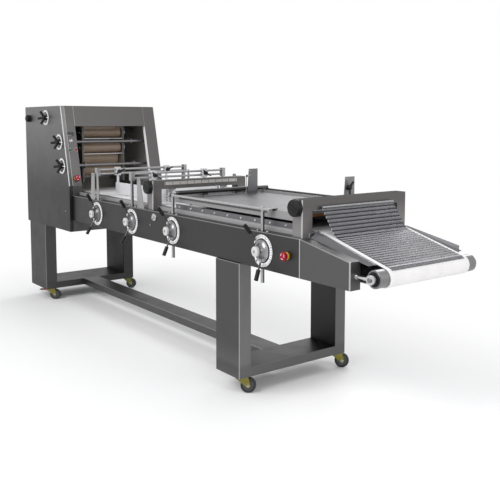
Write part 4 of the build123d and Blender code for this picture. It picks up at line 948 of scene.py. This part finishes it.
# steel rule on the first portal's beam: a mark each centimetre, a long one each five
ruleLook = {"low": (79, -254, 975), "high": (80.2, 264, 995), "shortFoot": 0.9885, "longFoot": 0.9765}


def ruleSteel():
    look = Look("ruleSteel", 0.7)
    x, y, z = look.axes()
    along = (y - tableY) * 100
    short = (look.maths("FRACT", along + 50) < 0.14) * (z > ruleLook["shortFoot"])
    long = (look.maths("FRACT", along / 5 + 50) < 0.06) * (z > ruleLook["longFoot"])
    cloud = look.noise(40, 3)
    steel = look.tint(cloud, (0.4, 0.393, 0.386), (0.48, 0.473, 0.466))
    colour = look.tint(look.maths("MAXIMUM", short, long), steel, (0.03,) * 3)
    look.set({"Base Color": colour, "Roughness": 0.35 + 0.15 * cloud})
    return look.material


fit(bar(at(*ruleLook["low"]), at(*ruleLook["high"]), 0.0003, 1), "portalRule", (ruleSteel(), steelSlot))

# round latch on the near cover, with its turn bar
latchSteps = [(0.0225, 0), (0.0225, 0.004), (0.0205, 0.007), (0.0165, 0.0085), (0.015, 0.0065),
              (0.006, 0.006)]
latch = [turned(latchSteps, 40), bar((-0.016, -0.0035, 0.005), (0.016, 0.0035, 0.012), 0.0015, 3)]
fit(setAt(joined(latch), at(123, -349, 800), toNear, 0.6), "coverLatch", polishedPart)


# ribs and a slot bar on the round black knobs
def knobRibs(name, place, radius, depth, count, body):
    ribs = []
    for rib in range(count):
        angle = rib * 2 * math.pi / count
        strip = bar((-0.0016, -0.0016, 0.003), (0.0016, 0.0016, depth - 0.007), 0.0009)
        ribs.append(setAt(strip, (radius * math.cos(angle), radius * math.sin(angle), 0), upwards, angle))
    for step in (-0.2, 0.2):
        low = (-radius * 0.62, radius * step - 0.0018, depth - 0.001)
        ribs.append(bar(low, (radius * 0.62, radius * step + 0.0018, depth + 0.0022), 0.0012))
    fit(setAt(joined(ribs), place, toNear, -0.5), name, blackPart, body)


knobRibs("guideKnobRibs", at(46.5, -333.3, 966), 0.0375, 0.028, 30, "guide_screw")
knobRibs("endKnobRibs", at(1353.5, -333.3, 966), 0.0375, 0.028, 30, "end_screw")
knobRibs("headKnobRibs", at(-1735, -370.3, 1369), 0.0246, 0.03, 20, "upper_knob")
socketOut = 0.0503  # from the cover to the face of a dial's knob
socketSteps = [(0.0062, -0.001), (0.0062, 0.0006), (0.005, 0.0009), (0.0044, 0.0009), (0.0042, -0.0006)]
for number, axle in dialAxles.items():
    socket = setAt(turned(socketSteps, 24), (axle.x, nearFace - socketOut, axle.z), toNear)
    fit(socket, "dialSocket" + number, blackPart, "dial_" + number)
print("stage: knobs ribbed")

# castors: a hex nut on each end of the axle bolt, across the way they trail
nutSteps, nutOut = [(0.0078, 0), (0.0078, 0.003), (0.0068, 0.0038)], 0.018
trailSide = leftOf(math.radians(50)).to_3d()
for castor in castorNames:
    axle, nuts = jointPlace(castor + "_roll"), []
    for side in (-1, 1):
        nuts.append(setAt(turned(nutSteps, 6), axle + trailSide * side * nutOut, trailSide * side))
    fit(joined(nuts), castor + "AxleNuts", (polished, "zinc"), castor + "_fork")

# bearing caps in the ends of the end roller
capSteps = [(0.031, 0), (0.031, 0.0012), (0.029, 0.002), (0.015, 0.002), (0.0142, 0.001)]
for near, side, facing in bothSides:
    cap = setAt(turned(capSteps, 40), at(1786.7, side * 303, 718), facing)
    fit(cap, "rollerCap" + near.title(), blackPart, "belt_end_roller")

# studs on the end wall of the tray
studSteps = [(0.0045, 0), (0.0045, 0.01), (0.0075, 0.01), (0.0075, 0.0165), (0.004, 0.0165),
             (0.0036, 0.024)]
studSpots = [at(1288, across, 924) for across in (-264, -228)]
fit(stamped(turned(studSteps, 20), studSpots, upwards), "trayStuds", polishedPart, "board")
print("stage: small pieces done")

# the mat as it is woven: flattened spirals between cross rods, hung from a round bar; in millimetres
matLook = {"top": (1398, 964), "landing": (1484.9, 843.4), "end": (1797.8, 759.6), "bend": 60, "half": 229,
           "roller": 43, "wrap": 24, "rows": 25, "reach": 6.1, "turn": 4.6, "wire": 1.25, "rod": (3.1, 1.5),
           "bar": 6.5, "hook": 12}


# point and heading on the mat's path: down from the bar, a bend, along the belt, over the roller
def matPlace(share):
    top, landing, end = (Vector(matLook[key]) for key in ("top", "landing", "end"))
    bend, roller = matLook["bend"], matLook["roller"]
    fall, run = landing - top, end - landing
    first, last = (math.atan2(way.y, way.x) for way in (fall, run))
    back = bend * math.tan((last - first) / 2)
    lengths = (fall.length - back, bend * (last - first), run.length - back, matLook["wrap"])
    gone = share * sum(lengths)
    if gone < lengths[0]:
        return top + fall.normalized() * gone, first
    gone -= lengths[0]
    if gone < lengths[1]:
        heading = first + gone / bend
        return landing - fall.normalized() * back + bend * (leftOf(first) - leftOf(heading)), heading
    gone -= lengths[1]
    if gone < lengths[2]:
        return landing + run.normalized() * (gone + back), last
    heading = last - (gone - lengths[2]) / roller
    return end - roller * (leftOf(last) - leftOf(heading)), heading


def laid(model, rows):  # copies on the path, joined: their X runs down the mat, their Z stands off it
    copies = []
    for row in rows:
        (along, up), heading = matPlace(row / matLook["rows"])
        copies.append(copied(model))
        copies[-1].matrix_world = Matrix.Translation(at(along, 0, up)) @ Matrix.Rotation(-heading, 4, "Y")
        settled()
    bpy.data.objects.remove(model)
    return joined(copies)


def matSpiral():  # one flattened spiral across the mat
    reach, turn, wire, half = (matLook[key] / 1000 for key in ("reach", "turn", "wire", "half"))
    length = math.hypot(2 * reach, turn / 2) + wire
    legs = []
    for side in (-1, 1):
        clearSelection()
        spin = (0, math.pi / 2, side * math.atan2(turn / 2, 2 * reach))
        place = (0, -half + turn / 2 + side * turn / 4, side * 0.0002)
        bpy.ops.mesh.primitive_cylinder_add(vertices=6, radius=wire, depth=length, location=place,
                                            rotation=spin)
        legs.append(settled())
    spiral = joined(legs)
    repeat = spiral.modifiers.new("turns", "ARRAY")
    repeat.count = int(2 * matLook["half"] / matLook["turn"])
    repeat.use_relative_offset = False
    repeat.use_constant_offset = True
    repeat.constant_offset_displace = (0, turn, 0)
    bpy.ops.object.modifier_apply(modifier=repeat.name)
    return smooth(spiral)


matHalf, barRadius = matLook["half"] / 1000, matLook["bar"] / 1000
rodWide, rodThick = (size / 1000 for size in matLook["rod"])
rows = range(matLook["rows"])
spirals = laid(matSpiral(), [row + 0.5 for row in rows])
rods = laid(bar((-rodWide, -matHalf, -rodThick), (rodWide, matHalf, rodThick), 0.0008), rows[1:])
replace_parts(fit(spirals, "matSpirals", (matLight, "mat_wire")), "wire_mat")
fit(rods, "matRods", (matRodShadow, "mat_wire"))
barX, barZ = matLook["top"]
half, hook = matLook["half"], matLook["hook"]
barParts = [setAt(turned([(barRadius, -matHalf), (barRadius, matHalf)], 28), at(barX, 0, barZ), toFar)]
for side in (-1, 1):
    low, high = sorted((side * half, side * (half - hook)))
    barParts.append(bar(at(barX - hook, low, barZ - 6), at(barX, high, barZ + 6), 0.0012))
fit(joined(barParts), "matBar", rodPart)
print("stage: mat woven")

# shelves of the sloping bed, between the belt's edges and the nose covers; in millimetres
shelf = {"inner": 248, "outer": 297, "from": 1396, "past": 52, "under": 1.5, "thick": 2, "below": 4.5,
         "corner": 4, "flat": 10}
landingX, landingZ = matLook["landing"]
beltFall = (landingZ - matLook["end"][1]) / (matLook["end"][0] - landingX)
shelfEnd = noseEnd * 1000 + shelf["past"]


def beside(place):  # for the short edges at a corner of a plate that still lies flat there
    def close(end):
        aside = end.co - place
        return max(abs(aside.x), abs(aside.y)) < shelf["corner"] / 1000 and end.co.z < shelf["flat"] / 1000
    return lambda edge: all(close(end) for end in edge.verts)


shelves = []
for side in (-1, 1):
    low, high = sorted((side * shelf["inner"], side * shelf["outer"]))
    plate = bar(at(shelf["from"], low, -shelf["thick"]), at(shelfEnd, high, 0), 0.0006)
    for along in (shelf["from"], shelfEnd):
        atNose = (coverTop - (along / 1000 - coverEnd) * noseFall) * 1000 - shelf["under"]
        atBelt = landingZ - (along - landingX) * beltFall - shelf["below"]
        for across, up in ((shelf["outer"], atNose), (shelf["inner"], atBelt)):
            pick(plate, "EDGE", beside(at(along, side * across, 0)))
            bpy.ops.transform.translate(value=(0, 0, up / 1000))
    shelves.append(smooth(plate))
fit(joined(shelves), "noseShelves", (shelfSteel, "frame_steel"))

# floor, light and camera
studio = {"sky": 0.55, "footprint": (1.6, 0.4), "fade": (0.1, 1.4)}
clearSelection()
bpy.ops.mesh.primitive_plane_add(size=40, location=(0, 0, 0))
floor = settled()
floor.name = "floor"


def seenRays(tree):  # 1 for what the camera sees, straight or in metal and glass
    path = tree.nodes.new("ShaderNodeLightPath")
    total = path.outputs["Is Camera Ray"]
    for kind in ("Is Glossy Ray", "Is Transmission Ray"):
        more = tree.nodes.new("ShaderNodeMath")
        more.operation = "MAXIMUM"
        tree.links.new(total, more.inputs[0])
        tree.links.new(path.outputs[kind], more.inputs[1])
        total = more.outputs[0]
    return total


def blended(tree, share, first, second, output):
    blend = tree.nodes.new("ShaderNodeMixShader")
    for socket, source in zip(blend.inputs, (share, first.outputs[0], second.outputs[0])):
        tree.links.new(source, socket)
    tree.links.new(blend.outputs[0], output.inputs["Surface"])


def floorPaint():  # pale round the machine, where its shadow lies, and white further out
    look = Look("floorPaint")
    colour = look.tint(look.noise(30, 3), (0.91,) * 3, (0.94,) * 3)
    look.set({"Base Color": colour, "Roughness": 0.7})
    aside = [look.maths("MAXIMUM", look.maths("ABSOLUTE", part) - half, 0)
             for part, half in zip(look.axes(), studio["footprint"])]
    out = (aside[0] ** 2 + aside[1] ** 2) ** 0.5
    white = look.span(out, *studio["fade"]) * Wire(look, seenRays(look.tree))
    glow = look.tree.nodes.new("ShaderNodeEmission")
    blended(look.tree, white.socket, look.shader, glow, look.output)
    return look.material


floor.data.materials.append(floorPaint())

world = bpy.data.worlds.new("studioSky")
bpy.context.scene.world = world
world.use_nodes = True
sky = world.node_tree
sky.nodes.clear()
skyOut = sky.nodes.new("ShaderNodeOutputWorld")


def background(strength, tone):
    made = sky.nodes.new("ShaderNodeBackground")
    made.inputs["Strength"].default_value = strength
    made.inputs["Color"].default_value = tone
    return made


lightSky, seenSky = background(studio["sky"], (0.97, 0.98, 1, 1)), background(1, (1, 1, 1, 1))
blended(sky, seenRays(sky), lightSky, seenSky, skyOut)


def softLamp(name, place, aim, size, power):
    bpy.ops.object.light_add(type="AREA", location=place)
    lamp = active()
    lamp.name = name
    lamp.data.shape = "RECTANGLE"
    lamp.data.size, lamp.data.size_y = size
    lamp.data.energy = power
    lamp.rotation_euler = (Vector(aim) - Vector(place)).to_track_quat("-Z", "Y").to_euler()


softLamp("keyLamp", (0.5, -4.5, 4.2), (0, 0, 0.8), (4.5, 2.2), 220)
softLamp("fillLamp", (5.5, 0.5, 3), (0.5, 0, 0.7), (3, 2.5), 110)
softLamp("backLamp", (-2, 4.5, 4), (-0.3, 0, 0.8), (4, 2), 110)

bpy.ops.object.camera_add(location=(3.7808, tableY - 2.4163, 1.3359),
                          rotation=(math.pi / 2 - 0.091, 0, 0.926))
camera = active()
camera.data.lens, camera.data.sensor_width, camera.data.shift_y = 52.95, 36, -0.12
bpy.context.scene.camera = camera
bpy.context.scene.view_settings.view_transform = "Standard"
print("stage: studio and camera set")
